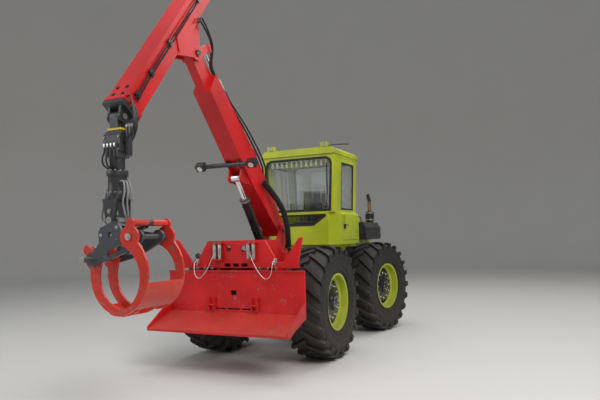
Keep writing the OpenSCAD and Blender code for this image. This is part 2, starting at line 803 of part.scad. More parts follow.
// The frame's plates are solids of their own, seated on each other
module winch_tower() {
    color(red) place() {
        // Upright plate with the horns
        difference() {
            slab_x(tower_x, tower_x + tower_t)
                polygon([[-horn_half_w + 90, tower_low_z], [horn_half_w - 90, tower_low_z],
                    [horn_half_w, tower_top_z + 30], [horn_half_w - 60, tower_top_z + 20],
                    [valley_y + 40, valley_z], [valley_y - 60, valley_z],
                    [tower_half_w, tower_top_z], [-tower_half_w, tower_top_z],
                    [-valley_y + 60, valley_z], [-valley_y - 40, valley_z],
                    [-horn_half_w + 60, tower_top_z + 20], [-horn_half_w, tower_top_z + 30]]);
            for (y = [-fairlead_y, fairlead_y])
                slab_x(tower_x - cut, tower_x + tower_t + cut)
                    translate([y - 30, window_z]) square([60, window_h]);
            // Seams in line with the rope windows and under the valleys
            for (z = [window_z - seat_gap, window_z + window_h])
                block(tower_x - cut, tower_x + tower_t + cut, -valley_y, valley_y, z, z + seat_gap);
            for (y = [-valley_y - seat_gap, valley_y])
                block(tower_x - cut, tower_x + tower_t + cut, y, y + seat_gap, tower_low_z - cut, valley_z + cut);
            for (y = [-130, 130]) translate([0, y, 1790]) round_x(100, tower_x - cut, tower_x + tower_t + cut);
            for (y = [-150, 0, 150])
                block(tower_x - cut, tower_x + tower_t + cut, y - 55, y + 55, tower_low_z + 18, tower_low_z + 70);
        }
        // Cross beam behind the plate
        block(tower_back_x, tower_x + tower_depth, -tower_in_w, tower_in_w, tower_top_z - 60, tower_top_z);
        // Side plates down to the rails
        both_sides() slab_y(tower_half_w - 30, tower_half_w)
            polygon([[tower_back_x, tower_low_z], [tower_back_x, tower_top_z],
                [tower_x + tower_depth + 60, tower_top_z], [tower_x + tower_depth + 300, rail_top + 100],
                [tower_x + tower_depth + 300, rail_top + seat_gap], [tower_x + 200, rail_top + seat_gap],
                [tower_x + 140, tower_low_z]]);
        // Floor plate on the rails
        block(tower_x + 200, tower_x + tower_depth + 300, -tower_in_w, tower_in_w,
            rail_top + seat_gap, rail_top + 30);
        // Gussets behind the horns
        both_sides() for (y = [valley_y - 110, horn_half_w - 130])
            slab_y(y, y + 24) polygon([[tower_back_x, strip_top], [tower_back_x, valley_z],
                [tower_x + 130, strip_top + 10], [tower_x + 130, strip_top]]);
        both_sides() difference() {
            block(tower_back_x, cyl_x + barrel_d / 2 + 25, tower_half_w + seat_gap, horn_half_w - 106,
                tower_low_z, tower_low_z + strip_t);
            translate([cyl_x, cyl_y, tower_low_z - cut])
                cylinder(h = strip_t + 2 * cut, d = barrel_d + 2 * seat_gap);
        }
        // Fairlead brackets that hold the rollers
        both_sides() for (z = [1620, 1870])
            block(tower_x - 90, tower_x - seat_gap, fairlead_y - 95, fairlead_y + 95, z, z + 20);
        // Guide posts of the blade
        both_sides() {
            block(guide_x0, guide_x1, guide_y - 35, guide_y + 35, 700, tower_low_z - seat_gap);
            for (z = [frame_z + 20, rail_top - 100])
                block(guide_x1 - cut, guide_tube_x - guide_tube_d / 2 - seat_gap, guide_y - lip_in + gap,
                    guide_y + lip_in - gap, z, z + 80);
        }
    }
}

guide_y = 330;
lip_in = 16;
guide_x0 = tower_x + 20;
guide_x1 = guide_x0 + 60;
drum_x = -560;
drum_z = 1560;

module winch() {
    color(steel) place() {
        // Two vertical rollers at each rope window
        for (y = [-fairlead_y, fairlead_y], d = [-1, 1])
            translate([tower_x - 48, y + d * (roller_d / 2 + 16), 1640 + seat_gap]) {
                cylinder(h = 230 - 2 * seat_gap, d = roller_d);
            }
        // Twin drums on one shaft
        translate([drum_x, 0, drum_z]) {
            round_y(80, -tower_half_w + 30 + seat_gap, tower_half_w - 30 - seat_gap);
            for (y = [-240, 240]) translate([0, y, 0]) {
                round_y(200, -150, 150);
                for (e = [-160, 140]) round_y(330, e, e + 20);
            }
            round_y(240, -60, 60);
        }
    }
}

// Rear blade that slides on the guide posts

face_x = tower_x - 50;
face_t = 26;
face_z0 = blade_top_z - blade_face_h;
lip_z = face_z0 - 280;

module rear_blade() {
    color(red) place() {
        difference() {
            union() {
                block(face_x - face_t, face_x, -blade_half_w, blade_half_w, face_z0, blade_top_z);
                // Folded top edge
                block(face_x - face_t - 14, face_x, -blade_half_w, blade_half_w, blade_top_z - 26, blade_top_z);
            }
            // Square peep hole and slots over the lip
            block(face_x - face_t - 40, face_x + cut, -50, 50, face_z0 + 220, face_z0 + 290);
            for (y = [-260, 0, 260])
                block(face_x - face_t - cut, face_x + cut, y - 110, y + 110, face_z0 - cut, face_z0 + 24);
        }
        // Sloping lip and its edge
        slab_y(-blade_half_w, blade_half_w)
            polygon([[face_x, face_z0 - 60], [face_x, face_z0 + cut], [face_x - face_t, face_z0 + cut],
                [face_x - face_t, face_z0 - 40], [face_x - lip_reach, lip_z + 34],
                [face_x - lip_reach, lip_z], [face_x - lip_reach + 30, lip_z - 6]]);
        both_sides() {
            // Cheeks at the ends
            slab_y(blade_half_w - 24, blade_half_w)
                polygon([[face_x, face_z0 + 130], [face_x - 40, face_z0 + 130],
                    [face_x - lip_reach, lip_z + 60], [face_x - lip_reach, lip_z], [face_x, face_z0 - 90]]);
            // Hook ribs on the face
            for (y = [380]) {
                block(face_x - face_t - 46, face_x - face_t + cut, y - 60, y - 44, face_z0 - 20, face_z0 + 190);
                block(face_x - face_t - 46, face_x - face_t + cut, y + 44, y + 60, face_z0 - 20, face_z0 + 190);
                translate([face_x - face_t - 30, y, face_z0 + 70]) round_y(26, -60, 60);
            }
            // Shoes that wrap the guide posts
            for (z = [face_z0 + 120, blade_top_z - 150]) {
                block(face_x - cut, guide_x1 + gap + 24, guide_y + 35 + gap, guide_y + 35 + gap + 20, z, z + 120);
                block(face_x - cut, guide_x1 + gap + 24, guide_y - 35 - gap - 20, guide_y - 35 - gap, z, z + 120);
                block(guide_x1 + gap, guide_x1 + gap + 24, guide_y + lip_in, guide_y + 60, z, z + 120);
                block(guide_x1 + gap, guide_x1 + gap + 24, guide_y - 60, guide_y - lip_in, z, z + 120);
            }
            // Brackets for the rods of the blade's cylinders
            block(face_x - cut, cyl_x + 40, cyl_y - 40, cyl_y + 40, face_z0 - 20, foot_top);
        }
    }
}

barrel_d = 80;
barrel_cap = 10;
cyl_x = tower_x + tower_t + barrel_d / 2 + barrel_cap + gap;
cyl_y = tower_half_w + barrel_d / 2 + barrel_cap + 15;
foot_top = face_z0 + 10;
barrel_z0 = foot_top + 60;
barrel_z1 = tower_low_z + 70;
lift_rod_d = 45;

// Cylinders held by a collar on the strip under the horns, with the rods down
module blade_barrels() {
    color(dark) place() both_sides() translate([cyl_x, cyl_y, 0]) difference() {
        union() {
            translate([0, 0, barrel_z0]) cylinder(h = barrel_z1 - barrel_z0, d = barrel_d);
            for (z = [barrel_z0, tower_low_z + strip_t + seat_gap])
                translate([0, 0, z]) cylinder(h = 40, d = barrel_d + 2 * barrel_cap);
        }
        translate([0, 0, barrel_z0 - cut]) cylinder(h = barrel_z1 - barrel_z0 - 20, d = lift_rod_d + 2 * rod_gap);
    }
}

module blade_rods() {
    color(steel) place() both_sides() translate([cyl_x, cyl_y, foot_top + seat_gap])
        cylinder(h = barrel_z1 - foot_top - 80, d = lift_rod_d);
}

// Crane

base_d = 620;
base_z0 = rail_top + 30 + seat_gap;
slew_z = 1640;

module crane_base() {
    color(red) place() {
        translate([column_x, 0, base_z0]) {
            cylinder(h = slew_z - base_z0 - 80, d = base_d - 100);
            translate([0, 0, slew_z - base_z0 - 81]) cylinder(h = 81, d = base_d);
            cylinder(h = 40, d = base_d);
        }
        // Foot plate and ribs on the rails
        block(column_x - 380, column_x + 480, -frame_half_w - 60, frame_half_w + 60,
            rail_top + seat_gap, rail_top + 31);
        for (a = [45:90:315]) translate([column_x, 0, base_z0]) rotate(a)
            slab_y(-15, 15) polygon([[base_d / 2 - 60, 0], [base_d / 2 + 60, 0],
                [base_d / 2 - 60, slew_z - base_z0 - 90]]);
    }
}

boom_pin_x = column_x + 120;
pin_d = 90;
lift_pin_d = 60;
ear_t = 40;
ear_in = boom_w / 2 + gap;
lift_foot = [column_x - 290, 1788];
lift_w = 170;

module crane_column() {
    color(red) place() difference() {
        union() {
            translate([column_x, 0, slew_z + seat_gap]) {
                cylinder(h = 70, d = base_d - 40);
                cylinder(h = 190, d = base_d - 190);
            }
            // Two cheeks that carry the boom pin and the foot of the lift cylinder
            both_sides() slab_y(ear_in, ear_in + ear_t) {
                polygon([[column_x - 240, slew_z + 60], [column_x + 240, slew_z + 60],
                    [boom_pin_x + 110, boom_pin_z], [boom_pin_x - 110, boom_pin_z + 30],
                    [column_x - 130, 1900]]);
                translate([boom_pin_x, boom_pin_z]) circle(d = 220);
            }
            both_sides() slab_y(lift_w / 2 + gap, lift_w / 2 + gap + 30) {
                polygon([[column_x - 100, slew_z + 60], [column_x - 100, 1840], lift_foot + [0, 70],
                    lift_foot + [-20, -60], [column_x - 240, slew_z + 60]]);
                translate(lift_foot) circle(d = 140);
            }
            // Back web between the cheeks
            block(column_x + 60, column_x + 160, -ear_in - cut, ear_in + cut, slew_z + 150, boom_pin_z - 250);
        }
        translate([lift_foot[0], 0, lift_foot[1]]) round_y(lift_pin_d, -400, 400);
    }
    // Foot pin of the boom
    color(red) place() translate([boom_pin_x, 0, boom_pin_z])
        round_y(pin_d - 2 * rod_gap, -ear_in - ear_t - 12, ear_in + ear_t + 12);
}

// The boom is drawn along x from its foot pin, then raised and turned to the rear
module at_boom() {
    translate([boom_pin_x, 0, boom_pin_z]) rotate([0, 180 + boom_el, 0]) mirror([0, 0, 1]) children();
}

lift_eye = [1420, -312];
stick_foot = [1450, 300];
stick_eye = [boom_len - 90, 320];
knuckle_d = 80;
end_ear_in = 70;

module boom() {
    color(red) place() at_boom() {
        difference() {
            union() {
                slab_y(-boom_w / 2, boom_w / 2) {
                    circle(d = 220);
                    polygon([[0, -105], [400, -150], [1150, -200], [1700, -200], [boom_len - 500, -150],
                        [boom_len - 420, 140], [1700, 200], [1150, 200], [300, 130], [0, 105]]);
                }
                // Narrow head that the stick's plates straddle
                slab_y(-end_ear_in, end_ear_in) {
                    polygon([[boom_len - 520, -148], [boom_len, -110], [boom_len, 110], [boom_len - 520, 142]]);
                    translate([boom_len, 0]) circle(d = 220);
                }
                // Ears of the lift cylinder
                both_sides() slab_y(lift_w / 2 + gap, lift_w / 2 + gap + 30) {
                    polygon([[lift_eye[0] - 260, -190], lift_eye + [-60, -40], lift_eye + [60, -40],
                        [bar_s - bar_d / 2 - 20, -190]]);
                    translate(lift_eye) circle(d = 150);
                }
                // Ears of the stick cylinder
                both_sides() slab_y(60 + gap, 60 + gap + 28) {
                    polygon([[stick_foot[0] - 200, 190], stick_foot + [-60, 20], stick_foot + [60, 20],
                        [stick_foot[0] + 200, 190]]);
                    translate(stick_foot) circle(d = 130);
                }
            }
            round_y(pin_d, -400, 400);
            translate([boom_len, 0, 0]) round_y(knuckle_d, -400, 400);
            translate([stick_foot[0], 0, stick_foot[1]]) round_y(56, -400, 400);
        }
    }
}

bar_s = 1630;
bar_d = 70;

module lamp_bar() {
    color(dark) place() at_boom() {
        // Tube across the underside with a lamp box at each end
        translate([bar_s, 0, -200 - bar_d / 2 - seat_gap]) {
            round_y(bar_d, -boom_w / 2 - 130, 560);
            both_sides() block(-60, 60, boom_w / 2 - 60, boom_w / 2 - 30, -10, bar_d / 2);
            translate([0, 600, 0]) lamp_box();
            translate([0, -boom_w / 2 - 180, 0]) lamp_box();
        }
    }
}

module lamp_box() {
    rotate([0, 0, 0]) block(-55, 55, -75, 75, -50, 60);
}

// Lift cylinder
function boom_point(p) = [boom_pin_x - p[0] * cos(boom_el) + p[1] * sin(boom_el),
    boom_pin_z + p[0] * sin(boom_el) + p[1] * cos(boom_el)];
lift_top = boom_point(lift_eye);
lift_dir = lift_top - lift_foot;
lift_len = norm(lift_dir);
lift_tilt = atan2(lift_dir[0], lift_dir[1]);
lift_barrel_d = 140;
lift_barrel_l = 980;

// Drawn along z from the foot pin
module at_lift() {
    translate([lift_foot[0], 0, lift_foot[1]]) rotate([0, lift_tilt, 0]) children();
}

module cylinder_barrel(d, bore, from, to, eye_d, eye_w, pin) {
    difference() {
        union() {
            translate([0, 0, from]) cylinder(h = to - from, d = d);
            translate([0, 0, to - 60]) cylinder(h = 60, d = d + 20);
            round_y(eye_d, -eye_w / 2, eye_w / 2);
            block(-d / 4, d / 4, -eye_w / 2, eye_w / 2, 0, from + cut);
        }
        translate([0, 0, from + 60]) cylinder(h = to, d = bore + 2 * rod_gap);
    }
    round_y(pin, -eye_w / 2 - gap - 32, eye_w / 2 + gap + 32);
}

module cylinder_rod(d, from, to, eye_d, eye_w) {
    translate([0, 0, from]) cylinder(h = to - from - eye_d / 2 + 10, d = d);
    translate([0, 0, to]) difference() {
        round_y(eye_d, -eye_w / 2, eye_w / 2);
        round_y(eye_d * 0.55, -eye_w, eye_w);
    }
}

module lift_barrel() {
    color(dark) place() at_lift() cylinder_barrel(lift_barrel_d, 80, 70, lift_barrel_l, 120, lift_w, 58);
}

module lift_rod() {
    color(steel) place() at_lift() cylinder_rod(80, 420, lift_len, 110, lift_w);
}

// Stick

knuckle = boom_point([boom_len, 0]);
tele_w = stick_w - 60;
tele_h = stick_h - 60;

// The stick is drawn along x towards its tip from the knuckle pin, its middle line stick_offset up
module at_stick() {
    translate([knuckle[0], 0, knuckle[1]]) rotate([0, 180 - stick_el, 0]) mirror([0, 0, 1]) children();
}

plate_in = end_ear_in + gap;
plate_t = 40;

module stick() {
    color(red) place() at_stick() difference() {
        union() {
            block(-stick_back, stick_front, -stick_w / 2, stick_w / 2,
                stick_offset - stick_h / 2, stick_offset + stick_h / 2);
            // Collar at the open end
            block(stick_front - 60, stick_front, -stick_w / 2 - 12, stick_w / 2 + 12,
                stick_offset - stick_h / 2 - 12, stick_offset + stick_h / 2 + 12);
            // Knuckle plates
            both_sides() slab_y(plate_in, plate_in + plate_t) {
                polygon([[-420, stick_offset - stick_h / 2 + 10], [420, stick_offset - stick_h / 2 + 10],
                    [85, -20], [-40, -75], [-85, 0]]);
                circle(d = 220);
                strap([0, 0], stick_lug, 104);
                translate(stick_lug) circle(d = 130);
            }
            // Rib plates that widen the box over the knuckle
            both_sides() slab_y(stick_w / 2 - cut, stick_w / 2 + 16)
                polygon([[-380, stick_offset - stick_h / 2], [380, stick_offset - stick_h / 2],
                    [240, stick_offset + 30], [-240, stick_offset + 30]]);
        }
        // Room for the telescope, which runs in the collar
        block(-stick_back + 40, stick_front - 70, -stick_w / 2 + 20, stick_w / 2 - 20,
            stick_offset - stick_h / 2 + 20, stick_offset + stick_h / 2 - 20);
        block(stick_front - 80, stick_front + cut, -tele_w / 2 - rod_gap, tele_w / 2 + rod_gap,
            stick_offset - tele_h / 2 - rod_gap, stick_offset + tele_h / 2 + rod_gap);
    }
    // Knuckle pin
    color(red) place() at_stick()
        round_y(knuckle_d - 2 * rod_gap, -plate_in - plate_t - 12, plate_in + plate_t + 12);
}

// Lever end of the stick where its cylinder pushes, worked out in the stick's own directions
knee = stick_eye - [boom_len, 0];
turn = boom_el + stick_el;
stick_lug = [knee[0] * cos(turn) - knee[1] * sin(turn), knee[0] * sin(turn) + knee[1] * cos(turn)];

stick_cyl_d = 120;
stick_cyl_dir = stick_eye - stick_foot;
stick_cyl_len = norm(stick_cyl_dir);
stick_cyl_tilt = atan2(stick_cyl_dir[0], stick_cyl_dir[1]);

module at_stick_cyl() {
    at_boom() translate([stick_foot[0], 0, stick_foot[1]]) rotate([0, stick_cyl_tilt, 0]) children();
}

module stick_barrel() {
    color(dark) place() at_stick_cyl() cylinder_barrel(stick_cyl_d, 64, 60, 1180, 100, 120, 54);
}

module stick_rod() {
    color(steel) place() at_stick_cyl() cylinder_rod(64, 560, stick_cyl_len, 100, 120);
}

tip = stick_front + extension_out;
tip_eye_w = 120;
hanger_pin_d = 60;

module extension() {
    color(dark) place() at_stick() translate([0, 0, stick_offset]) difference() {
        union() {
            block(200, stick_front + 40, -tele_w / 2, tele_w / 2, -tele_h / 2, tele_h / 2);
            // Square end frame
            block(stick_front + gap, stick_front + 60, -tele_w / 2 - 40, tele_w / 2 + 40,
                -tele_h / 2 - 40, tele_h / 2 + 40);
            // Fork with the hanger pin
            both_sides() slab_y(tip_eye_w / 2 + gap, tip_eye_w / 2 + gap + 34) {
                polygon([[stick_front + 30, -tele_h / 2], [tip, -70], [tip, 70], [stick_front + 30, tele_h / 2]]);
                translate([tip, 0]) circle(d = 140);
            }
        }
        translate([tip, 0, 0]) round_y(hanger_pin_d, -300, 300);
    }
}

// Hanger, rotator and grapple hang straight down from the tip

tip_place = [knuckle[0] - tip * cos(stick_el) - stick_offset * sin(stick_el),
    knuckle[1] - tip * sin(stick_el) + stick_offset * cos(stick_el)];
hanger_w = 250;
rotor_z = -hanger_len;

module at_tip() {
    translate([tip_place[0], 0, tip_place[1]]) children();
}

module hanger() {
    color(dark) place() at_tip() {
        round_y(hanger_pin_d - 2 * rod_gap, -tip_eye_w / 2 - gap - 44, tip_eye_w / 2 + gap + 44);
        round_y(130, -tip_eye_w / 2, tip_eye_w / 2);
        slab_y(-tip_eye_w / 2, tip_eye_w / 2)
            polygon([[-65, 0], [65, 0], [55, -170], [-55, -170]]);
        // Brake housing with shoulders all round and its cover ribs
        intersection() {
            slab_x(-95, 95) polygon([[-hanger_w / 2, -190], [-hanger_w / 2 + 30, -160], [hanger_w / 2 - 30, -160],
                [hanger_w / 2, -190], [hanger_w / 2, -400], [hanger_w / 2 - 40, -470],
                [-hanger_w / 2 + 40, -470], [-hanger_w / 2, -400]]);
            slab_y(-hanger_w, hanger_w)
                polygon([[-55, -160], [55, -160], [95, -225], [95, -470], [-95, -470], [-95, -225]]);
        }
        for (y = [-75:50:75]) translate([-101, y, -330]) block(0, 8, -12, 12, -45, 45);
        translate([0, 0, rotor_z + seat_gap]) cylinder(h = 160, d = 170);
        // Accumulator on the right side
        translate([0, -hanger_w / 2 - 42, -460]) cylinder(h = 330, d = 80);
        block(-30, 30, -hanger_w / 2 - 20, -hanger_w / 2 + cut, -420, -200);
    }
}

tilt_z = rotor_z - rotator_h;
head_pin_d = 60;
fork_in = 90;

module rotator() {
    color(dark) place() at_tip() {
        translate([0, 0, rotor_z - 60]) cylinder(h = 60, d = 240);
        translate([0, 0, rotor_z - 260]) cylinder(h = 201, d = 210);
        translate([0, 0, rotor_z - 330]) cylinder(h = 80, d = 260);
        // Fork that the grapple head tilts in
        difference() {
            for (side = [-1, 1]) slab_x(side * (fork_in + 18) - 18, side * (fork_in + 18) + 18) {
                polygon([[-110, rotor_z - 320], [110, rotor_z - 320], [60, tilt_z], [-60, tilt_z]]);
                translate([0, tilt_z]) circle(d = 130);
            }
            translate([0, 0, tilt_z]) round_x(head_pin_d, -300, 300);
        }
    }
}

// The head is drawn level round its tilting pin and then tilted

module at_head() {
    at_tip() translate([0, 0, tilt_z]) rotate([-head_tilt, 0, 0]) children();
}

jaw_pin_z = -330;
jaw_pin_y = jaw_gap / 2;
jaw_pin_d = 60;
head_in = 150;
head_t = 36;
inner_out = head_in - gap;
lever = 150;
lever_lean = 25;
hump_y = 130;

module head_plate() {
    difference() {
        union() {
            polygon([[-hump_y - 20, -90], [-hump_y + 30, -50], [hump_y - 30, -50], [hump_y + 20, -90],
                [hump_y + 45, -200], [jaw_pin_y - 30, jaw_pin_z + 55], [jaw_pin_y, jaw_pin_z - 74],
                [hump_y, jaw_pin_z - 100], [-hump_y, jaw_pin_z - 100], [-jaw_pin_y, jaw_pin_z - 74],
                [-jaw_pin_y + 30, jaw_pin_z + 55], [-hump_y - 45, -200]]);
            for (y = [-jaw_pin_y, jaw_pin_y]) translate([y, jaw_pin_z]) circle(d = 150);
        }
        // Slot window
        translate([-110, -385]) soft_rect(220, 60, 28);
        // Pass hole for the cylinder's hoses
        translate([0, -170]) circle(d = 60);
    }
}

module grapple_head() {
    color(dark) place() at_head() {
        difference() {
            union() {
                // Top eye in the rotator's fork
                round_x(120, -fork_in + gap, fork_in - gap);
                slab_x(-fork_in + gap, fork_in - gap)
                    polygon([[-60, 0], [60, 0], [100, -110], [-100, -110]]);
                for (side = [-1, 1])
                    slab_x(side * (head_in + head_t / 2) - head_t / 2, side * (head_in + head_t / 2) + head_t / 2)
                        head_plate();
                // Cross boxes between the plates, over and under the cylinder
                slab_x(-head_in - cut, head_in + cut)
                    polygon([[-130, -70], [130, -70], [140, -118], [-140, -118]]);
                slab_x(-head_in - cut, head_in + cut)
                    polygon([[-100, -250], [100, -250], [120, -290], [-120, -290]]);
            }
            translate([0, 0, 0]) round_x(head_pin_d, -400, 400);
        }
        // Tilting pin and jaw pins
        round_x(head_pin_d - 2 * rod_gap, -fork_in - 50, fork_in + 50);
        round_x(head_pin_d + cut, -fork_in + 2 * gap, fork_in - 2 * gap);
        for (y = [-jaw_pin_y, jaw_pin_y]) translate([0, y, jaw_pin_z])
            round_x(jaw_pin_d - 2 * rod_gap, -jaw_w / 2 - 14, jaw_w / 2 + 14);
    }
}

// Jaw outlines in y and z round the pin, for the right-hand jaw: a ring piece that gets thinner to its tip
ring_c = [jaw_pin_y, -330];
ring_from = 128;
ring_to = 297;
ring_n = 14;
root_t = 150;
tip_t = 26;

function ring_point(r, a) = ring_c + r * [cos(a), sin(a)];

module claw_side() {
    step = (ring_to - ring_from) / ring_n;
    inner = [for (i = [0:ring_n]) ring_point(jaw_r, ring_from + i * step)];
    outer = [for (i = [ring_n:-1:0])
        ring_point(jaw_r + tip_t + (root_t - tip_t) * pow(1 - i / ring_n, 0.8), ring_from + i * step)];
    difference() {
        union() {
            polygon(concat(inner, outer));
            circle(d = 240);
            strap([0, 0], lever_end(), 100);
        }
        circle(d = jaw_pin_d);
    }
}

function lever_end() = [-lever * sin(lever_lean), lever * cos(lever_lean)];

// A jaw of two equal sides, its cross pieces and the bar at its lever's end
module jaw_body(out, bar_from) {
    difference() {
        union() {
            for (side = [-1, 1])
                slab_x(side * (out - jaw_t / 2) - jaw_t / 2, side * (out - jaw_t / 2) + jaw_t / 2) claw_side();
            // Back plate that follows the outer edge
            slab_x(-out + jaw_t - cut, out - jaw_t + cut) back_strip(206, 250);
            // Lever bar in two halves beside the cylinder's eye
            for (side = [-1, 1]) slab_x(side * (out + bar_from) / 2 - (out - bar_from) / 2,
                side * (out + bar_from) / 2 + (out - bar_from) / 2)
                translate(lever_end()) circle(d = 70);
        }
        translate([0, lever_end()[0], lever_end()[1]]) round_x(jaw_eye_pin, -bar_from - 30, bar_from + 30);
    }
}

back_t = 20;

module back_strip(from, to) {
    n = 6;
    step = (to - from) / n;
    function share(a) = (a - ring_from) / (ring_to - ring_from);
    function out_r(a) = jaw_r + tip_t + (root_t - tip_t) * pow(1 - share(a), 0.8);
    polygon(concat([for (i = [0:n]) ring_point(out_r(from + i * step) - back_t, from + i * step)],
        [for (i = [n:-1:0]) ring_point(out_r(from + i * step) - 1, from + i * step)]));
}

jaw_eye_w = 60;
jaw_eye_pin = 36;

module jaw_right() {
    color(red) place() at_head() translate([0, -jaw_pin_y, jaw_pin_z])
        jaw_body(jaw_w / 2, jaw_eye_w / 2 + gap);
}

module jaw_left() {
    color(red) place() at_head() translate([0, jaw_pin_y, jaw_pin_z]) mirror([0, 1, 0])
        jaw_body(inner_out, jaw_eye_w / 2 + gap);
}

// The cylinder lies level between the two lever ends, its barrel on the right-hand jaw
jaw_cyl_z = jaw_pin_z + lever_end()[1];
jaw_cyl_y = jaw_pin_y - lever_end()[0];
jaw_barrel_d = 84;
jaw_barrel_l = 440;
jaw_rod_d = 44;

module jaw_barrel() {
    color(dark) place() at_head() translate([0, -jaw_cyl_y, jaw_cyl_z]) difference() {
        union() {
            round_x(64, -jaw_eye_w / 2, jaw_eye_w / 2);
            round_x(jaw_eye_pin - 2 * rod_gap, -jaw_eye_w / 2 - gap - 24, jaw_eye_w / 2 + gap + 24);
            block(-jaw_eye_w / 2, jaw_eye_w / 2, 0, 51, -24, 24);
            round_y(jaw_barrel_d, 50, jaw_barrel_l);
        }
        round_y(jaw_rod_d + 2 * rod_gap, 80, jaw_barrel_l + cut);
    }
}

module jaw_rod() {
    color(steel) place() at_head() translate([0, jaw_cyl_y, jaw_cyl_z]) difference() {
        union() {
            round_x(64, -jaw_eye_w / 2, jaw_eye_w / 2);
            round_y(jaw_rod_d, -2 * jaw_cyl_y + 380, -20);
        }
        round_x(jaw_eye_pin, -jaw_eye_w, jaw_eye_w);
    }
}

// Ropes and hoses

// A round tube of one polyhedron along a smooth route through hand-set points
function spline(p, i, t) = let (a = p[max(i - 1, 0)], b = p[i], c = p[i + 1], d = p[min(i + 2, len(p) - 1)])
    0.5 * (2 * b + (c - a) * t + (2 * a - 5 * b + 4 * c - d) * t * t + (3 * b - a - 3 * c + d) * t * t * t);
function route(p, n) = concat([for (i = [0:len(p) - 2], k = [0:n - 1]) spline(p, i, k / n)], [p[len(p) - 1]]);
function unit(v) = v / norm(v);

module tube(path, d, sides) {
    last = len(path) - 1;
    dirs = [for (i = [0:last]) unit(path[min(i + 1, last)] - path[max(i - 1, 0)])];
    up = [1, 0.13, 0.07];
    rings = [for (i = [0:last]) let (u = unit(cross(dirs[i], up)), v = cross(dirs[i], u))
        for (k = [0:sides - 1]) path[i] + d / 2 * (u * cos(360 * k / sides) + v * sin(360 * k / sides))];
    polyhedron(points = rings, faces = concat(
        [[for (k = [0:sides - 1]) k]],
        [for (i = [0:last - 1], k = [0:sides - 1])
            [i * sides + k, (i + 1) * sides + k, (i + 1) * sides + (k + 1) % sides, i * sides + (k + 1) % sides]],
        [[for (k = [sides - 1:-1:0]) last * sides + k]]));
}

rope_d = 14;
rope_route = [[-1060, 308.7, 1745], [-1150, 308.7, 1742], [-1200, 310, 1730], [-1222, 350, 1650],
    [-1226, 430, 1500], [-1226, 520, 1390], [-1226, 590, 1350], [-1226, 650, 1380], [-1222, 680, 1450],
    [-1212, 690, 1540], [-1180, 692, 1590], [-1130, 692, 1610]];

module rope_left() {
    color(steel) place() tube(route(rope_route, 4), rope_d, 8);
}

module rope_right() {
    color(steel) place() mirror([0, 1, 0]) tube(route(rope_route, 4), rope_d, 8);
}

hose_d = 110;
hose_route = [[100, -290, 1790], [60, -330, 1840], [10, -350, 1980], [-30, -355, 2150], [-110, -335, 2380],
    [-260, -285, 2590], [-400, -235, 2740], [-520, -203.5, 2850]];

module hose_bundle() {
    color(dark) place() tube(route(hose_route, 3), hose_d, 12);
}

frame();
tow_jaw();
rear_axle();
front_axle();
engine();
hood();
grille();
side_boxes();
silencer();
cab_base();
cab_rear_wall();
cab_front_wall();
cab_side_left();
cab_side_right();
cab_roof();
cab_glass();
door_left();
door_glass_left();
door_right();
door_glass_right();
seat();
console();
steps();
winch_tower();
winch();
rear_blade();
blade_barrels();
blade_rods();
crane_base();
crane_column();
boom();
lamp_bar();
lift_barrel();
lift_rod();
stick();
stick_barrel();
stick_rod();
extension();
hanger();
rotator();
grapple_head();
jaw_right();
jaw_left();
jaw_barrel();
jaw_rod();
knuckle_left();
knuckle_right();
tie_rod();
rim_rear_left();
tyre_rear_left();
rim_rear_right();
tyre_rear_right();
rim_front_left();
tyre_front_left();
rim_front_right();
tyre_front_right();
rope_left();
rope_right();
hose_bundle();
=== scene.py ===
"""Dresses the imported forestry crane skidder: paint, dust and rubber, tyres with lugs, ropes, hoses, bolts,
window seals, lamps and the stage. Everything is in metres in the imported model's own frame."""

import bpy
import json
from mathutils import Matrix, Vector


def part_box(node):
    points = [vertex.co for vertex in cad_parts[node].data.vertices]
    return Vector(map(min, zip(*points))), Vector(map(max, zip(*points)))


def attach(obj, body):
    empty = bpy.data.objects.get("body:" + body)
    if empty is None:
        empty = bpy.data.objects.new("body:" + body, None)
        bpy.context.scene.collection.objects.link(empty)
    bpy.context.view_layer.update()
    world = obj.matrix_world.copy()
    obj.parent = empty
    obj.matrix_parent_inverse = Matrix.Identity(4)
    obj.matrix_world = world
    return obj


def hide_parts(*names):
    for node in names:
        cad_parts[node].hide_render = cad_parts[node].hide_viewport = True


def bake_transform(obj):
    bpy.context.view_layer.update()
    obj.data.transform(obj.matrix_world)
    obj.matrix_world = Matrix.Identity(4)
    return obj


bl_info = {
    "name": "Forestry Crane Skidder",
    "version": (1, 0, 0),
    "blender": (4, 5, 0),
    "location": "View3D > Sidebar > Skidder",
    "description": "Dresses the packed crane skidder with its finishes, tyres, hoses and small parts",
    "category": "Object",
}

import json
import math
import random

import bmesh
import bpy
from bpy.props import FloatProperty, FloatVectorProperty, IntProperty, PointerProperty
from mathutils import Matrix, Vector

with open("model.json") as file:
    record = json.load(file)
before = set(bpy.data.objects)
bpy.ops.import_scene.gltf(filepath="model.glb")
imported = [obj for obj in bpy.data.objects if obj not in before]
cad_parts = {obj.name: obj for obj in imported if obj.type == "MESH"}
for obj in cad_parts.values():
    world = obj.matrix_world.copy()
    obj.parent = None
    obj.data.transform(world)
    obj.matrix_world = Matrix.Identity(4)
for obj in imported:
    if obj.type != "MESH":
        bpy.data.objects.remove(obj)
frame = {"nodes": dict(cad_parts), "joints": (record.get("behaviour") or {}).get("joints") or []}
NODES = frame["nodes"]
JOINTS = {joint["name"]: joint for joint in frame["joints"]}
X, Y, Z = Vector((1, 0, 0)), Vector((0, 1, 0)), Vector((0, 0, 1))
WHEELS = ("rear_left", "rear_right", "front_left", "front_right")


# Settings


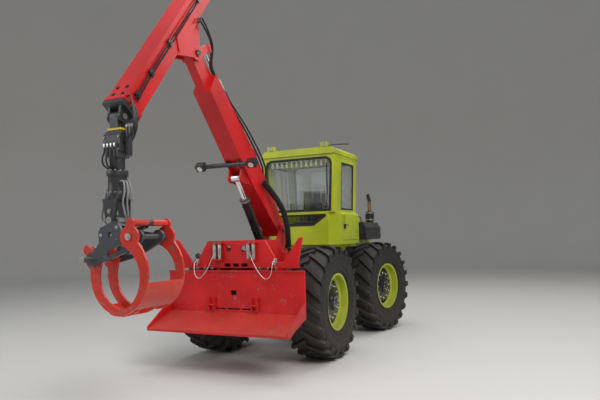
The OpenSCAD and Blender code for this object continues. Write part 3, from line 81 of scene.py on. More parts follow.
class PaintSettings(bpy.types.PropertyGroup):
    """Colours of the paints and how dusty the machine is"""

    lime: FloatVectorProperty(name="Lime", description="Cab, hood and rim paint", subtype="COLOR",
                              size=3, min=0, max=1, default=(0.43, 0.50, 0.018))
    red: FloatVectorProperty(name="Red", description="Crane, winch frame and blade paint", subtype="COLOR",
                             size=3, min=0, max=1, default=(0.56, 0.008, 0.010))
    jaw: FloatVectorProperty(name="Jaw red", description="Paint of the grapple jaws", subtype="COLOR",
                             size=3, min=0, max=1, default=(0.58, 0.026, 0.012))
    dust: FloatVectorProperty(name="Dust", description="Dry forest soil", subtype="COLOR",
                              size=3, min=0, max=1, default=(0.17, 0.125, 0.085))
    dustiness: FloatProperty(name="Dustiness", description="How much dust lies on the machine",
                             min=0, max=1, default=0.5, subtype="FACTOR")
    edge: FloatProperty(name="Edge rounding", description="Rounding of the plate edges", unit="LENGTH",
                        min=0, max=0.01, default=0.003)


class TyreSettings(bpy.types.PropertyGroup):
    """Tread of the forestry tyres"""

    lugs: IntProperty(name="Lugs", description="Lugs on each half of a tyre", min=12, max=30, default=21)
    depth: FloatProperty(name="Lug depth", description="Height of the lugs over the tread", unit="LENGTH",
                         min=0.02, max=0.07, default=0.048)
    lug_width: FloatProperty(name="Lug width", description="Width of a lug at its foot", unit="LENGTH",
                             min=0.04, max=0.12, default=0.074)
    sweep: FloatProperty(name="Sweep", description="Turn of a lug from the middle to the shoulder",
                         subtype="ANGLE", min=0.1, max=0.6, default=0.27)


class StageSettings(bpy.types.PropertyGroup):
    """Camera and light"""

    camera_place: FloatVectorProperty(name="Camera", description="Place of the camera", size=3,
                                      subtype="TRANSLATION", default=(-8.744, -4.547, 1.969))
    heading: FloatProperty(name="Heading", description="Turn of the view from straight ahead to the left",
                           subtype="ANGLE", default=math.radians(25.16))
    pitch: FloatProperty(name="Pitch", description="Rise of the view", subtype="ANGLE",
                         default=math.radians(3.67))
    roll: FloatProperty(name="Roll", description="Roll of the camera", subtype="ANGLE",
                        default=math.radians(-1.39))
    lens: FloatProperty(name="Lens", description="Focal length on a 36 mm sensor", unit="CAMERA",
                        min=10, max=200, default=33.42)
    light: FloatProperty(name="Light", description="Strength of the key light", min=0, max=5000,
                         default=1150)
    floor: FloatVectorProperty(name="Floor", description="Colour of the floor", subtype="COLOR", size=3,
                               min=0, max=1, default=(0.62, 0.61, 0.59))


def settings():
    return bpy.context.scene.skidder


class SkidderSettings(bpy.types.PropertyGroup):
    """All settings of the crane skidder"""

    paint: PointerProperty(type=PaintSettings)
    tyre: PointerProperty(type=TyreSettings)
    stage: PointerProperty(type=StageSettings)


# Shader maths


class Channel:
    """A node's output. Arithmetic on it adds the Math node that works it out."""

    def __init__(self, finish, socket):
        self.finish, self.socket = finish, socket

    def math(self, operation, *values, clamp=False):
        node = self.finish.node("ShaderNodeMath", operation=operation, use_clamp=clamp,
                                values=(self, *values))
        return node.out()

    def __add__(self, other):
        return self.math("ADD", other)

    def __sub__(self, other):
        return self.math("SUBTRACT", other)

    def __rsub__(self, other):
        return self.finish.value_math("SUBTRACT", other, self)

    def __mul__(self, other):
        return self.math("MULTIPLY", other)

    def __truediv__(self, other):
        return self.math("DIVIDE", other)

    __radd__ = __add__
    __rmul__ = __mul__

    def clamped(self):
        return self.math("ADD", 0.0, clamp=True)

    def step(self, low, high):
        """0 below low, 1 above high, smooth between them."""
        node = self.finish.node("ShaderNodeMapRange", interpolation_type="SMOOTHSTEP",
                                values=(self, low, high, 0.0, 1.0))
        return node.out()


class NodeBox:
    """A shader node with its outputs by name or number."""

    def __init__(self, finish, node):
        self.finish, self.node = finish, node

    def out(self, key=0):
        return Channel(self.finish, self.node.outputs[key])


class Finish:
    """A material whose shader is built from Python expressions."""

    def __init__(self, name):
        self.material = bpy.data.materials.new(name)
        self.material.use_nodes = True
        self.tree = self.material.node_tree
        self.tree.nodes.clear()
        self.output = self.tree.nodes.new("ShaderNodeOutputMaterial")
        self.shader = self.node("ShaderNodeBsdfPrincipled").node
        self.tree.links.new(self.shader.outputs[0], self.output.inputs["Surface"])
        self.place = self.node("ShaderNodeTexCoord").out("Object")

    @classmethod
    def around(cls, material):
        """The same handle on a material that is built already."""
        finish = cls.__new__(cls)
        finish.material, finish.tree = material, material.node_tree
        finish.shader = next(n for n in finish.tree.nodes if n.type == "BSDF_PRINCIPLED")
        finish.place = finish.node("ShaderNodeTexCoord").out("Object")
        return finish

    def node(self, kind, values=(), stops=None, inputs=None, **options):
        made = self.tree.nodes.new(kind)
        for key, value in options.items():
            setattr(made, key, value)
        if stops:
            ramp = made.color_ramp.elements
            while len(ramp) < len(stops):
                ramp.new(0.5)
            for element, (at, colour) in zip(ramp, stops):
                element.position, element.color = at, (*colour, 1.0)
        named = ((made.inputs[key], value) for key, value in (inputs or {}).items())
        for socket, value in (*zip(made.inputs, values), *named):
            self.feed(socket, value)
        return NodeBox(self, made)

    def feed(self, socket, value):
        if isinstance(value, Channel):
            self.tree.links.new(value.socket, socket)
        elif hasattr(value, "__len__") and len(value) == 3 and socket.type == "RGBA":
            socket.default_value = (*value, 1.0)
        else:
            socket.default_value = value

    def value_math(self, operation, first, second):
        return self.node("ShaderNodeMath", operation=operation, values=(first, second)).out()

    def noise(self, scale, detail=4.0, rough=0.55, place=None):
        return self.node("ShaderNodeTexNoise", inputs={
            "Vector": place or self.place, "Scale": scale, "Detail": detail, "Roughness": rough}).out("Fac")

    def stretched(self, scale):
        """The place scaled by a vector, for streaks."""
        return self.node("ShaderNodeVectorMath", operation="MULTIPLY",
                         values=(self.place, Vector(scale))).out()

    def height(self):
        return self.node("ShaderNodeSeparateXYZ", values=(self.place,)).out("Z")

    def facing_up(self):
        normal = self.node("ShaderNodeNewGeometry").out("Normal")
        return self.node("ShaderNodeSeparateXYZ", values=(normal,)).out("Z")

    def mix(self, mask, first, second):
        node = self.node("ShaderNodeMix", data_type="RGBA", clamp_factor=True)
        for key, value in ((0, mask), (6, first), (7, second)):
            self.feed(node.node.inputs[key], value)
        return node.out(2)

    def bump(self, height, strength, distance):
        return self.node("ShaderNodeBump", inputs={
            "Height": height, "Strength": strength, "Distance": distance}).out()

    def set(self, **sockets):
        for name, value in sockets.items():
            self.feed(self.shader.inputs[name.replace("_", " ")], value)
        return self

    def shine(self, coat, coat_roughness):
        """A clear coat, set on the shader's own sockets."""
        self.shader.inputs["Coat Weight"].default_value = coat
        self.shader.inputs["Coat Roughness"].default_value = coat_roughness
        return self


# Materials

# How far out from the wheel's middle the rim's lime paint begins, and how soft that line is
PAINT_LINE_OUT, PAINT_LINE_BLUR = 0.113, 0.003


def soil_mask(finish, top, amount):
    """Dust: thick near the ground, thinner up to the given height, and more on surfaces that face up."""
    dustiness = settings().paint.dustiness
    blotch = finish.noise(2.2, 5.0, 0.62)
    fine = finish.noise(34.0, 3.0, 0.6)
    low = 1 - finish.height().step(0.2, top)
    lying = finish.facing_up().step(0.55, 1.0) * 0.55
    mask = (low * 0.9 + lying) * (blotch * 0.9 + fine * 0.5) * (2.0 * amount * dustiness)
    return (mask - 0.12 * amount).clamped()


def painted(name, colour, top=2.2, dirt=0.8, rough=0.30, scuffs=0.0, coat=0.35):
    """Machine paint with dust low down, faint streaks and, where used, scuffs to the bare plate."""
    finish = Finish(name)
    tone = finish.noise(1.3, 3.0, 0.5)
    dark = tuple(c * 0.80 for c in colour)
    light = tuple(min(1.0, c * 1.10 + 0.004) for c in colour)
    body = finish.mix(tone.step(0.3, 0.7), dark, light)
    streak = finish.noise(3.0, 4.0, 0.6, finish.stretched((5.0, 5.0, 0.7))).step(0.60, 0.78)
    body = finish.mix(streak * 0.22, body, tuple(c * 0.45 + 0.03 for c in colour))
    soil = soil_mask(finish, top, dirt)
    roughness = finish.noise(9.0, 3.0, 0.5) * 0.16 + (rough - 0.08)
    metal = None
    if scuffs:
        rub = (finish.noise(7.0, 8.0, 0.72) * 0.6 + finish.noise(41.0, 4.0, 0.6) * 0.4).step(
            0.64 - 0.13 * scuffs, 0.68 - 0.10 * scuffs)
        body = finish.mix(rub, body, (0.23, 0.20, 0.18))
        metal = rub * 0.6
        roughness = roughness + rub * 0.15
    body = finish.mix(soil, body, tuple(settings().paint.dust))
    finish.set(Base_Color=body, Roughness=(roughness + soil * 0.45).clamped())
    if metal is not None:
        finish.set(Metallic=metal)
    pits = finish.noise(240.0, 2.0, 0.5) * 0.25 + finish.noise(16.0, 2.0, 0.5) * 0.15 + soil * 0.6
    finish.set(Normal=finish.bump(pits, 0.10, 0.002))
    finish.shader.inputs["Specular IOR Level"].default_value = 0.30
    return finish.shine(coat, 0.12).material


def rim_paint(name, middle, axis, colour):
    """Wheel paint: lime on the outer part of the rim, black on its inner part and the disc."""
    settled = painted(name, colour, top=2.1, dirt=0.45, rough=0.34)
    finish = Finish.around(settled)
    depth = finish.node("ShaderNodeVectorMath", operation="DOT_PRODUCT",
                        values=(finish.place, Vector(axis))).out("Value")
    paint_line = middle.dot(axis) + PAINT_LINE_OUT
    outer = depth.step(paint_line - PAINT_LINE_BLUR, paint_line + PAINT_LINE_BLUR)
    lime = finish.shader.inputs["Base Color"].links[0].from_socket
    grime = finish.noise(14.0, 4.0, 0.6)
    inner = finish.mix(grime, (0.012, 0.012, 0.013), (0.040, 0.036, 0.030))
    finish.set(Base_Color=finish.mix(outer, inner, Channel(finish, lime)))
    return settled


def rubbery(name, colour, rough=0.75, dirt=0.9, top=2.0):
    """Black rubber with a fine grain and dust."""
    finish = Finish(name)
    soil = soil_mask(finish, top, dirt)
    grain = finish.noise(55.0, 5.0, 0.65)
    body = finish.mix(grain.step(0.35, 0.7), tuple(c * 0.6 for c in colour), tuple(c * 1.5 for c in colour))
    body = finish.mix(soil * 0.75, body, tuple(0.62 * c for c in settings().paint.dust))
    finish.set(Base_Color=body, Roughness=(grain * 0.15 + rough - 0.07 + soil * 0.1).clamped(),
               Normal=finish.bump(grain + finish.noise(9.0, 3.0, 0.5) * 0.5, 0.25, 0.003))
    return finish.material


def bare_metal(name, colour, rough, stretch=(1.0, 1.0, 1.0), grime=0.25):
    """Bright metal with fine lines and a little grease."""
    finish = Finish(name)
    lines = finish.noise(60.0, 3.0, 0.6, finish.stretched(stretch))
    grease = finish.noise(6.0, 4.0, 0.6).step(0.52, 0.72) * grime
    body = finish.mix(grease, colour, (0.05, 0.045, 0.04))
    finish.set(Base_Color=body, Metallic=(1.0 - grease * 0.7),
               Roughness=(lines * 0.14 + rough - 0.07 + grease * 0.4).clamped())
    return finish.material


def plain(name, colour, rough=0.5, metal=0.0, coat=0.0):
    """A small part's even finish with a faint grain."""
    finish = Finish(name)
    grain = finish.noise(90.0, 3.0, 0.55)
    finish.set(Base_Color=finish.mix(grain.step(0.3, 0.7), tuple(c * 0.86 for c in colour), colour),
               Roughness=(grain * 0.12 + rough - 0.06).clamped())
    finish.shader.inputs["Metallic"].default_value = metal
    return finish.shine(coat, 0.1).material


def clear_glass(name):
    """Cab glass with a faint green tint and smears."""
    finish = Finish(name)
    inputs = finish.shader.inputs
    inputs["Base Color"].default_value = (0.90, 0.97, 0.94, 1.0)
    inputs["Transmission Weight"].default_value = 1.0
    inputs["IOR"].default_value = 1.45
    inputs["Alpha"].default_value = 0.45
    smear = finish.noise(4.0, 5.0, 0.6).step(0.35, 0.9)
    finish.set(Roughness=smear * 0.08 + 0.01)
    return finish.material


def woven(name, colour):
    """Seat cloth with a fine weave."""
    finish = Finish(name)
    weave = finish.node("ShaderNodeTexChecker", inputs={"Vector": finish.place, "Scale": 260.0}).out("Fac")
    finish.set(Base_Color=finish.mix(weave, tuple(c * 0.7 for c in colour), tuple(c * 1.5 for c in colour)),
               Normal=finish.bump(weave, 0.3, 0.001))
    finish.shader.inputs["Roughness"].default_value = 0.9
    finish.shader.inputs["Sheen Weight"].default_value = 0.3
    return finish.material


def exhaust_steel(name):
    """Steel of the stack, browned by the heat."""
    finish = Finish(name)
    burnt = finish.noise(9.0, 5.0, 0.6)
    body = finish.mix(burnt.step(0.35, 0.7), (0.36, 0.22, 0.12), (0.17, 0.10, 0.07))
    finish.set(Base_Color=body, Roughness=burnt * 0.3 + 0.25, Metallic=0.85 - burnt * 0.3)
    return finish.material


MATERIALS = {}


def make_materials():
    paint = settings().paint
    lime, red, jaw = tuple(paint.lime), tuple(paint.red), tuple(paint.jaw)
    MATERIALS.update(
        lime=painted("LimePaint", lime, top=2.6, dirt=0.45, rough=0.35, coat=0.10),
        red=painted("RedPaint", red, top=1.7, dirt=0.45, rough=0.34, coat=0.18),
        blade=painted("BladePaint", red, top=1.2, dirt=0.45, rough=0.38, scuffs=0.50, coat=0.1),
        jaw=painted("JawPaint", jaw, top=1.0, dirt=0.5, rough=0.40, scuffs=0.75),
        dark=painted("DarkPaint", (0.030, 0.030, 0.033), top=2.0, dirt=0.75, rough=0.42),
        head=painted("HeadPaint", (0.050, 0.055, 0.066), top=1.2, dirt=0.35, rough=0.40, scuffs=0.5),
        black=painted("CylinderEnamel", (0.018, 0.018, 0.022), top=1.6, dirt=0.4, rough=0.28, coat=0.6),
        hub=painted("HubPaint", (0.012, 0.012, 0.014), top=1.2, dirt=0.22, rough=0.34, coat=0.3),
        engine=painted("EngineCasting", (0.10, 0.10, 0.10), top=2.2, dirt=0.5, rough=0.6, coat=0.0),
        plastic=plain("BlackPlastic", (0.022, 0.022, 0.023), rough=0.5),
        seal=plain("WindowSeal", (0.012, 0.012, 0.012), rough=0.6),
        silver=plain("ZincFitting", (0.62, 0.61, 0.58), rough=0.32, metal=1.0),
        dull=plain("DullSteel", (0.30, 0.29, 0.28), rough=0.45, metal=0.9),
        pale_hose=plain("PaleHose", (0.24, 0.24, 0.235), rough=0.42),
        black_hose=plain("BlackHose", (0.016, 0.016, 0.017), rough=0.45),
        pale=plain("PaleSlats", (0.70, 0.70, 0.62), rough=0.5),
        yellow=plain("YellowMark", (0.75, 0.50, 0.02), rough=0.45),
        chrome=bare_metal("ChromeRod", (0.80, 0.80, 0.82), 0.12, grime=0.15),
        steel=bare_metal("RopePolishedSteel", (0.50, 0.49, 0.47), 0.38, grime=0.55),
        rope=bare_metal("WireRope", (0.66, 0.65, 0.62), 0.34, grime=0.35),
        tyre=rubbery("TyreRubber", (0.014, 0.0135, 0.013), rough=0.62, dirt=0.42),
        glass=clear_glass("CabGlass"),
        cloth=woven("SeatCloth", (0.03, 0.03, 0.034)),
        exhaust=exhaust_steel("ExhaustSteel"),
        **{"rim_" + name: rim_paint("RimPaint_" + name, *wheel_frame(name), lime) for name in WHEELS},
        lens=plain("LampLens", (0.75, 0.76, 0.72), rough=0.12, coat=1.0),
    )


# Mesh building


class Form:
    """Collects the faces of one piece, then makes it."""

    def __init__(self):
        self.verts, self.faces = [], []

    def add(self, points, faces):
        first = len(self.verts)
        self.verts += [tuple(p) for p in points]
        self.faces += [tuple(first + i for i in face) for face in faces]

    def block(self, low, high, frame_of=None):
        corners = [Vector((x, y, z)) for x in (low[0], high[0]) for y in (low[1], high[1])
                   for z in (low[2], high[2])]
        if frame_of:
            corners = [frame_of(*c) for c in corners]
        self.add(corners, [(0, 1, 3, 2), (4, 6, 7, 5), (0, 4, 5, 1), (2, 3, 7, 6), (0, 2, 6, 4),
                           (1, 5, 7, 3)])

    def rings(self, loops, closed=False, caps=True):
        """Skins a row of loops with the same number of points."""
        n, first = len(loops[0]), len(self.verts)
        for loop in loops:
            self.verts += [tuple(p) for p in loop]
        spans = range(len(loops) if closed else len(loops) - 1)
        for i in spans:
            a, b = first + i * n, first + (i + 1) % len(loops) * n
            self.faces += [(a + k, a + (k + 1) % n, b + (k + 1) % n, b + k) for k in range(n)]
        if caps and not closed:
            self.faces.append(tuple(first + k for k in reversed(range(n))))
            last = first + (len(loops) - 1) * n
            self.faces.append(tuple(last + k for k in range(n)))

    def bar(self, start, end, radius, sides=20, end_radius=None):
        start, end = Vector(start), Vector(end)
        across, up = side_axes(end - start)
        loops = [[at + (across * math.cos(a) + up * math.sin(a)) * r for a in turns(sides)]
                 for at, r in ((start, radius), (end, end_radius or radius))]
        self.rings(loops)

    def lathe(self, profile, at, axis, sides=48):
        """A profile of (radius, distance along the axis). It makes a ring unless it starts at the axis."""
        at, axis = Vector(at), Vector(axis).normalized()
        across, up = side_axes(axis)
        self.rings([[at + axis * z + (across * math.cos(a) + up * math.sin(a)) * max(r, 1e-4)
                     for a in turns(sides)] for r, z in profile], closed=profile[0][0] > 0)

    def tube(self, path, radius, sides=10):
        """A round tube along a smooth path."""
        self.rings([[point + (across * math.cos(a) + up * math.sin(a)) * radius for a in turns(sides)]
                    for point, across, up, _ in carried_axes([Vector(p) for p in path])])

    def bolt(self, at, axis, width=0.024, height=0.012, washer=True):
        at, axis = Vector(at), Vector(axis).normalized()
        if washer:
            self.bar(at - axis * 0.001, at + axis * 0.003, width * 0.72, 16)
        self.bar(at, at + axis * height, width * 0.56, 6)

    def make(self, name, material, body, slot=None, replaces=(), smooth=35.0):
        mesh = bpy.data.meshes.new(name)
        mesh.from_pydata(self.verts, [], self.faces)
        mesh.validate()
        piece = bpy.data.objects.new(name, mesh)
        bpy.context.scene.collection.objects.link(piece)
        mesh.materials.append(MATERIALS[material])
        fix_normals(mesh)
        mesh.polygons.foreach_set("use_smooth", [True] * len(mesh.polygons))
        mesh.set_sharp_from_angle(angle=math.radians(smooth))
        if isinstance(body, str):
            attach(piece, body)
        elif body:
            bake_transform(piece)
        if replaces:
            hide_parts(*replaces)
        return piece


def fix_normals(mesh):
    edit = bmesh.new()
    edit.from_mesh(mesh)
    bmesh.ops.recalc_face_normals(edit, faces=edit.faces)
    edit.to_mesh(mesh)
    edit.free()


def turns(n):
    return [2 * math.pi * k / n for k in range(n)]


def side_axes(direction):
    """Two axes square to a direction."""
    direction = Vector(direction).normalized()
    helper = Z if abs(direction.z) < 0.9 else X
    across = direction.cross(helper).normalized()
    return across, direction.cross(across)


def carried_axes(path):
    """For each point of a path: the point, two axes square to it without twist, and the way walked."""
    across = side_axes(path[1] - path[0])[0]
    walked, frames = 0.0, []
    for i, point in enumerate(path):
        ahead = (path[min(i + 1, len(path) - 1)] - path[max(i - 1, 0)]).normalized()
        across = (across - ahead * across.dot(ahead)).normalized()
        if i:
            walked += (point - path[i - 1]).length
        frames.append((point, across, ahead.cross(across), walked))
    return frames


def smooth_path(points, per_span=8):
    """A smooth line through the points."""
    pts = [Vector(p) for p in points]
    pts = [pts[0] * 2 - pts[1], *pts, pts[-1] * 2 - pts[-2]]
    path = []
    for a, b, c, d in zip(pts, pts[1:], pts[2:], pts[3:]):
        for k in range(per_span):
            t = k / per_span
            path.append(0.5 * (2 * b + (c - a) * t + (2 * a - 5 * b + 4 * c - d) * t * t
                               + (3 * b - a - 3 * c + d) * t ** 3))
    return [*path, pts[-2]]


def path_length(path):
    return sum((b - a).length for a, b in zip(path, path[1:]))


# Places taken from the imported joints


def joint_at(name):
    return Vector(JOINTS[name]["pos_m"])


def arm_frame(origin, along):
    """Coordinates of an arm: distance along it, to the left, and square to it."""
    along = Vector(along).normalized()
    square = Vector((along.z, 0, -along.x))
    return lambda s, y, h: origin + along * s + Y * y + square * h


BOOM_FOOT = joint_at("boom_lift")
KNUCKLE = joint_at("stick_swing")
on_boom = arm_frame(BOOM_FOOT, KNUCKLE - BOOM_FOOT)
on_stick = arm_frame(KNUCKLE, Vector(JOINTS["telescope"]["axis"]))
TIP = joint_at("hanger_swing")
TILT = joint_at("head_tilt")


def near_tip(x, y, z):
    return TIP + Vector((x, y, z))


JAW_LEFT, JAW_RIGHT = joint_at("jaw_left_open"), joint_at("jaw_open")
JAW_LINE = (JAW_LEFT - JAW_RIGHT).normalized()
JAW_UP = X.cross(JAW_LINE).normalized()


def on_head(x, y, z):
    """Coordinates of the grapple head: x forward, y from the right to the left jaw, z up."""
    return TILT + X * x + JAW_LINE * y + JAW_UP * z


# Wheels

DISC_INSET = 0.100


def wheel_frame(name):
    """The wheel's middle between its beads and its outward axis."""
    low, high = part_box("tyre_" + name)
    middle = (low + high) / 2
    axis = Vector(JOINTS[f"wheel_{name}_spin"]["axis"]).normalized()
    if name.endswith("right"):
        axis = -axis
    return middle, axis


def tyre_form(form, middle, axis, seed):
    """Carcass, sidewall rings and two rows of lugs."""
    tyre = settings().tyre
    outer, half, bead, bead_half = 0.900, 0.310, 0.4355, 0.240
    base = outer - tyre.depth
    carcass = [(bead, -bead_half), (bead + 0.03, -bead_half - 0.022), (0.52, -0.283), (0.60, -0.300),
               (0.69, -0.303), (0.76, -0.296), (0.81, -0.282), (base - 0.018, -0.245),
               (base - 0.004, -0.14), (base, 0.0)]
    profile = carcass + [(r, -z) for r, z in reversed(carcass[:-1])]
    form.lathe(profile, middle, axis, sides=96)
    for z in (-1, 1):
        for r, w in ((0.50, 0.290), (0.585, 0.303), (0.715, 0.305)):
            form.lathe([(r - 0.009, z * (w - 0.012)), (r - 0.005, z * w), (r + 0.005, z * w),
                        (r + 0.009, z * (w - 0.012))], middle, axis, sides=96)
    across, up = side_axes(axis)
    rng = random.Random(seed)

    def place(radius, angle, z):
        return middle + axis * z + (across * math.cos(angle) + up * math.sin(angle)) * radius

    def crown(z):
        """Lug tip radius over the tread's width."""
        return outer - 0.030 * (abs(z) / half) ** 3

    pitch = 2 * math.pi / tyre.lugs
    for side in (-1, 1):
        for i in range(tyre.lugs):
            start = i * pitch + (0.0 if side < 0 else pitch / 2)
            wear = rng.uniform(-0.002, 0.0)
            loops = []
            for t, z, rise in ((0.0, -0.018, 1.0), (0.18, 0.045, 1.0), (0.42, 0.125, 1.0),
                               (0.68, 0.205, 1.0), (0.90, 0.275, 1.0), (1.0, 0.3085, 0.93),
                               (1.05, 0.3095, 0.45), (1.08, 0.302, -0.6)):
                angle = start + tyre.sweep * t
                tip = base + (crown(z) + wear - base) * rise if rise > 0 else base - 0.075
                foot = min(base, tip) - 0.03
                wide = tyre.lug_width * (1.0 + 0.25 * t)
                wa = wide / base / 2
                ta = wa * 0.72
                loops.append([place(foot, angle - wa, side * z), place(tip, angle - ta, side * z),
                              place(tip, angle + ta, side * z), place(foot, angle + wa, side * z)])
            form.rings(loops)


class SKIDDER_OT_tyres(bpy.types.Operator):
    """Builds the four forestry tyres with their lugs"""

    bl_idname = "skidder.tyres"
    bl_label = "Tyres"

    def execute(self, context):
        for i, name in enumerate(WHEELS):
            form = Form()
            tyre_form(form, *wheel_frame(name), seed=i)
            form.make("lugged_tyre_" + name, "tyre", "wheel_" + name, "tyre", ("tyre_" + name,), smooth=28)
        return {"FINISHED"}


class SKIDDER_OT_hubs(bpy.types.Operator):
    """Adds the black hub covers, wheel bolts and valves"""

    bl_idname = "skidder.hubs"
    bl_label = "Hubs"

    def execute(self, context):
        for name in WHEELS:
            middle, axis = wheel_frame(name)
            face = middle - axis * DISC_INSET
            cover, bolts = Form(), Form()
            cover.lathe([(0.0, -0.063), (0.200, -0.063), (0.210, 0.200), (0.300, 0.226), (0.322, 0.236),
                         (0.322, 0.250), (0.290, 0.255), (0.200, 0.262), (0.165, 0.268), (0.140, 0.284),
                         (0.128, 0.314), (0.100, 0.326), (0.060, 0.330), (0.0, 0.331)], face, axis, 48)
            across, up = side_axes(axis)
            for count, out, circle, width, height in ((12, 0.257, 0.258, 0.032, 0.024),
                                                      (8, 0.327, 0.080, 0.018, 0.010)):
                for a in turns(count):
                    spoke = across * math.cos(a) + up * math.sin(a)
                    bolts.bolt(face + axis * out + spoke * circle, axis, width, height)
            valve = face + across * 0.36
            bolts.bar(valve - axis * 0.01, valve + axis * 0.05, 0.007, 10)
            cover.make("hub_cover_" + name, "hub", "wheel_" + name, "dark_paint")
            bolts.make("wheel_bolts_" + name, "silver", "wheel_" + name)
        return {"FINISHED"}


# CAD finishes

NODE_FINISH = {
    "dark": ("frame", "rear_axle", "front_axle", "knuckle_left", "knuckle_right", "steps", "extension",
             "hanger", "rotator"),
    "lime": ("hood", "cab_base", "cab_rear_wall", "cab_front_wall", "cab_side_left", "cab_side_right",
             "cab_roof", "door_left", "door_right"),
    **{"rim_" + w: ("rim_" + w,) for w in WHEELS},
    "red": ("crane_base", "crane_column", "boom", "stick", "winch_tower"),
    "blade": ("rear_blade",),
    "jaw": ("jaw_left", "jaw_right"),
    "head": ("grapple_head",),
    "black": ("lamp_bar", "lift_barrel", "stick_barrel", "jaw_barrel", "blade_barrels", "silencer"),
    "chrome": ("lift_rod", "stick_rod", "jaw_rod", "blade_rods"),
    "steel": ("winch", "tie_rod"),
    "rope": ("rope_left", "rope_right"),
    "engine": ("engine",),
    "plastic": ("grille", "side_boxes", "console"),
    "glass": ("cab_glass", "door_glass_left", "door_glass_right"),
    "cloth": ("seat",),
    "black_hose": ("hose_bundle",),
    "tyre": tuple("tyre_" + w for w in WHEELS),
}
SHARP_NODES = ("cab_glass", "door_glass_left", "door_glass_right", "rope_left", "rope_right", "hose_bundle",
               *("tyre_" + w for w in WHEELS))


class SKIDDER_OT_finishes(bpy.types.Operator):
    """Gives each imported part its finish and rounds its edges"""

    bl_idname = "skidder.finishes"
    bl_label = "Finishes"

    def execute(self, context):
        make_materials()
        for material, names in NODE_FINISH.items():
            for name in names:
                node = NODES[name]
                node.data.materials.clear()
                node.data.materials.append(MATERIALS[material])
                if name in SHARP_NODES:
                    continue
                weld = node.modifiers.new("Weld", "WELD")
                weld.merge_threshold = 0.0002
                rounding = node.modifiers.new("Edges", "BEVEL")
                rounding.width = settings().paint.edge
                rounding.segments = 2
                rounding.limit_method = "ANGLE"
                rounding.angle_limit = math.radians(35)
                rounding.harden_normals = False
        return {"FINISHED"}


# Ropes

ROPE_RADIUS = 0.0065
AXLE_X = joint_at("wheel_rear_left_spin").x
PLATE_X = -1.100 + AXLE_X
FAIRLEAD_Y = 0.3087


class SKIDDER_OT_ropes(bpy.types.Operator):
    """Lays the two winch ropes with their strands, ferrules and hooks"""

    bl_idname = "skidder.ropes"
    bl_label = "Winch ropes"

    def execute(self, context):
        for side, name in ((1, "left"), (-1, "right")):
            line = rope_points(side)
            length = path_length(line)
            form = Form()
            strands(form, line, 6)
            rope = form.make("wire_rope_" + name, "rope", "root", "rope_steel", ("rope_" + name,),
                             smooth=60)
            fittings = Form()
            end, before = line[-1], line[-4]
            ahead = (end - before).normalized()
            fittings.bar(end - ahead * 0.075, end - ahead * 0.002, 0.0112, 14)
            rope_hook(fittings, end, side)
            wound = Form()
            wound_drum(wound, side)
            wound.make("drum_rope_" + name, "rope", "root")
            ferrule = fittings.make("rope_ferrule_" + name, "silver", "root")
        return {"FINISHED"}


def wound_drum(form, side):
    """Rope wound on a drum, one bump for each turn."""
    axle, half, core = Vector((-0.560 + AXLE_X, side * 0.240, 1.560)), 0.136, 0.112
    turns_wide = int(2 * half / (2 * ROPE_RADIUS))
    profile = [(0.099, -half)]
    for k in range(turns_wide):
        z = -half + (k + 0.5) * 2 * half / turns_wide
        profile += [(core - 0.003, z - ROPE_RADIUS * 0.9), (core + 0.004, z)]
    form.lathe(profile + [(core - 0.003, half), (0.099, half)], axle, Y, 40)
    form.tube([axle + Z * core + X * 0.004, axle + Z * (core + 0.004) - X * 0.06,
               Vector((-1.060 + AXLE_X, side * FAIRLEAD_Y, 1.745))], ROPE_RADIUS, 8)


def rope_hook(form, end, side):
    """The plate, ring and hook that hold a rope's end on the winch frame."""
    form.block((PLATE_X - 0.014, end.y - 0.028, end.z - 0.034),
               (PLATE_X + 0.001, end.y + 0.028, end.z + 0.034))
    eye = Vector((PLATE_X - 0.030, end.y, end.z))
    ring = [eye + (X * math.cos(a) + Z * math.sin(a)) * 0.024 for a in turns(18)]
    form.tube([*ring, ring[0]], 0.0055, 8)
    hook = ((-0.004, 0, 0.010), (-0.012, 0, -0.030), (-0.004, 0.004, -0.066), (0.012, 0.004, -0.058),
            (0.014, 0.004, -0.034))
    form.tube(smooth_path([end + Vector((x, side * y, z)) for x, y, z in hook], 5), 0.0070, 8)


def rope_points(side):
    """The winch rope from the fairlead down in a loop and up to its hook on the frame."""
    route = [(-1.060, FAIRLEAD_Y, 1.745), (-1.150, FAIRLEAD_Y, 1.742), (-1.200, 0.310, 1.730),
             (-1.222, 0.350, 1.650), (-1.226, 0.430, 1.500), (-1.226, 0.520, 1.390),
             (-1.226, 0.590, 1.350), (-1.226, 0.650, 1.380), (-1.222, 0.680, 1.450),
             (-1.212, 0.690, 1.540), (-1.180, 0.692, 1.590), (-1.130, 0.692, 1.610)]
    return smooth_path([(x + AXLE_X, side * y, z) for x, y, z in route], 8)


def strands(form, line, count):
    """Strands laid round a line."""
    core, lay = ROPE_RADIUS * 0.60, 0.075
    frames = carried_axes(smooth_path(line, 3))
    for k in range(count):
        path = []
        for point, across, up, walked in frames:
            a = 2 * math.pi * (k / count + walked / lay)
            path.append(point + (across * math.cos(a) + up * math.sin(a)) * core)
        form.tube(path, ROPE_RADIUS * 0.42, 6)


# Hoses: name, finish, radius, body or bodies, points

HANGER_PORTS_Y = (-0.075, -0.025, 0.025, 0.075)


def boom_path(*points):
    return [on_boom(s, y, h) for s, y, h in points]


def shift_by(arm, s, y, h):
    """A shift given in an arm's coordinates."""
    return arm(s, y, h) - arm(0, 0, 0)


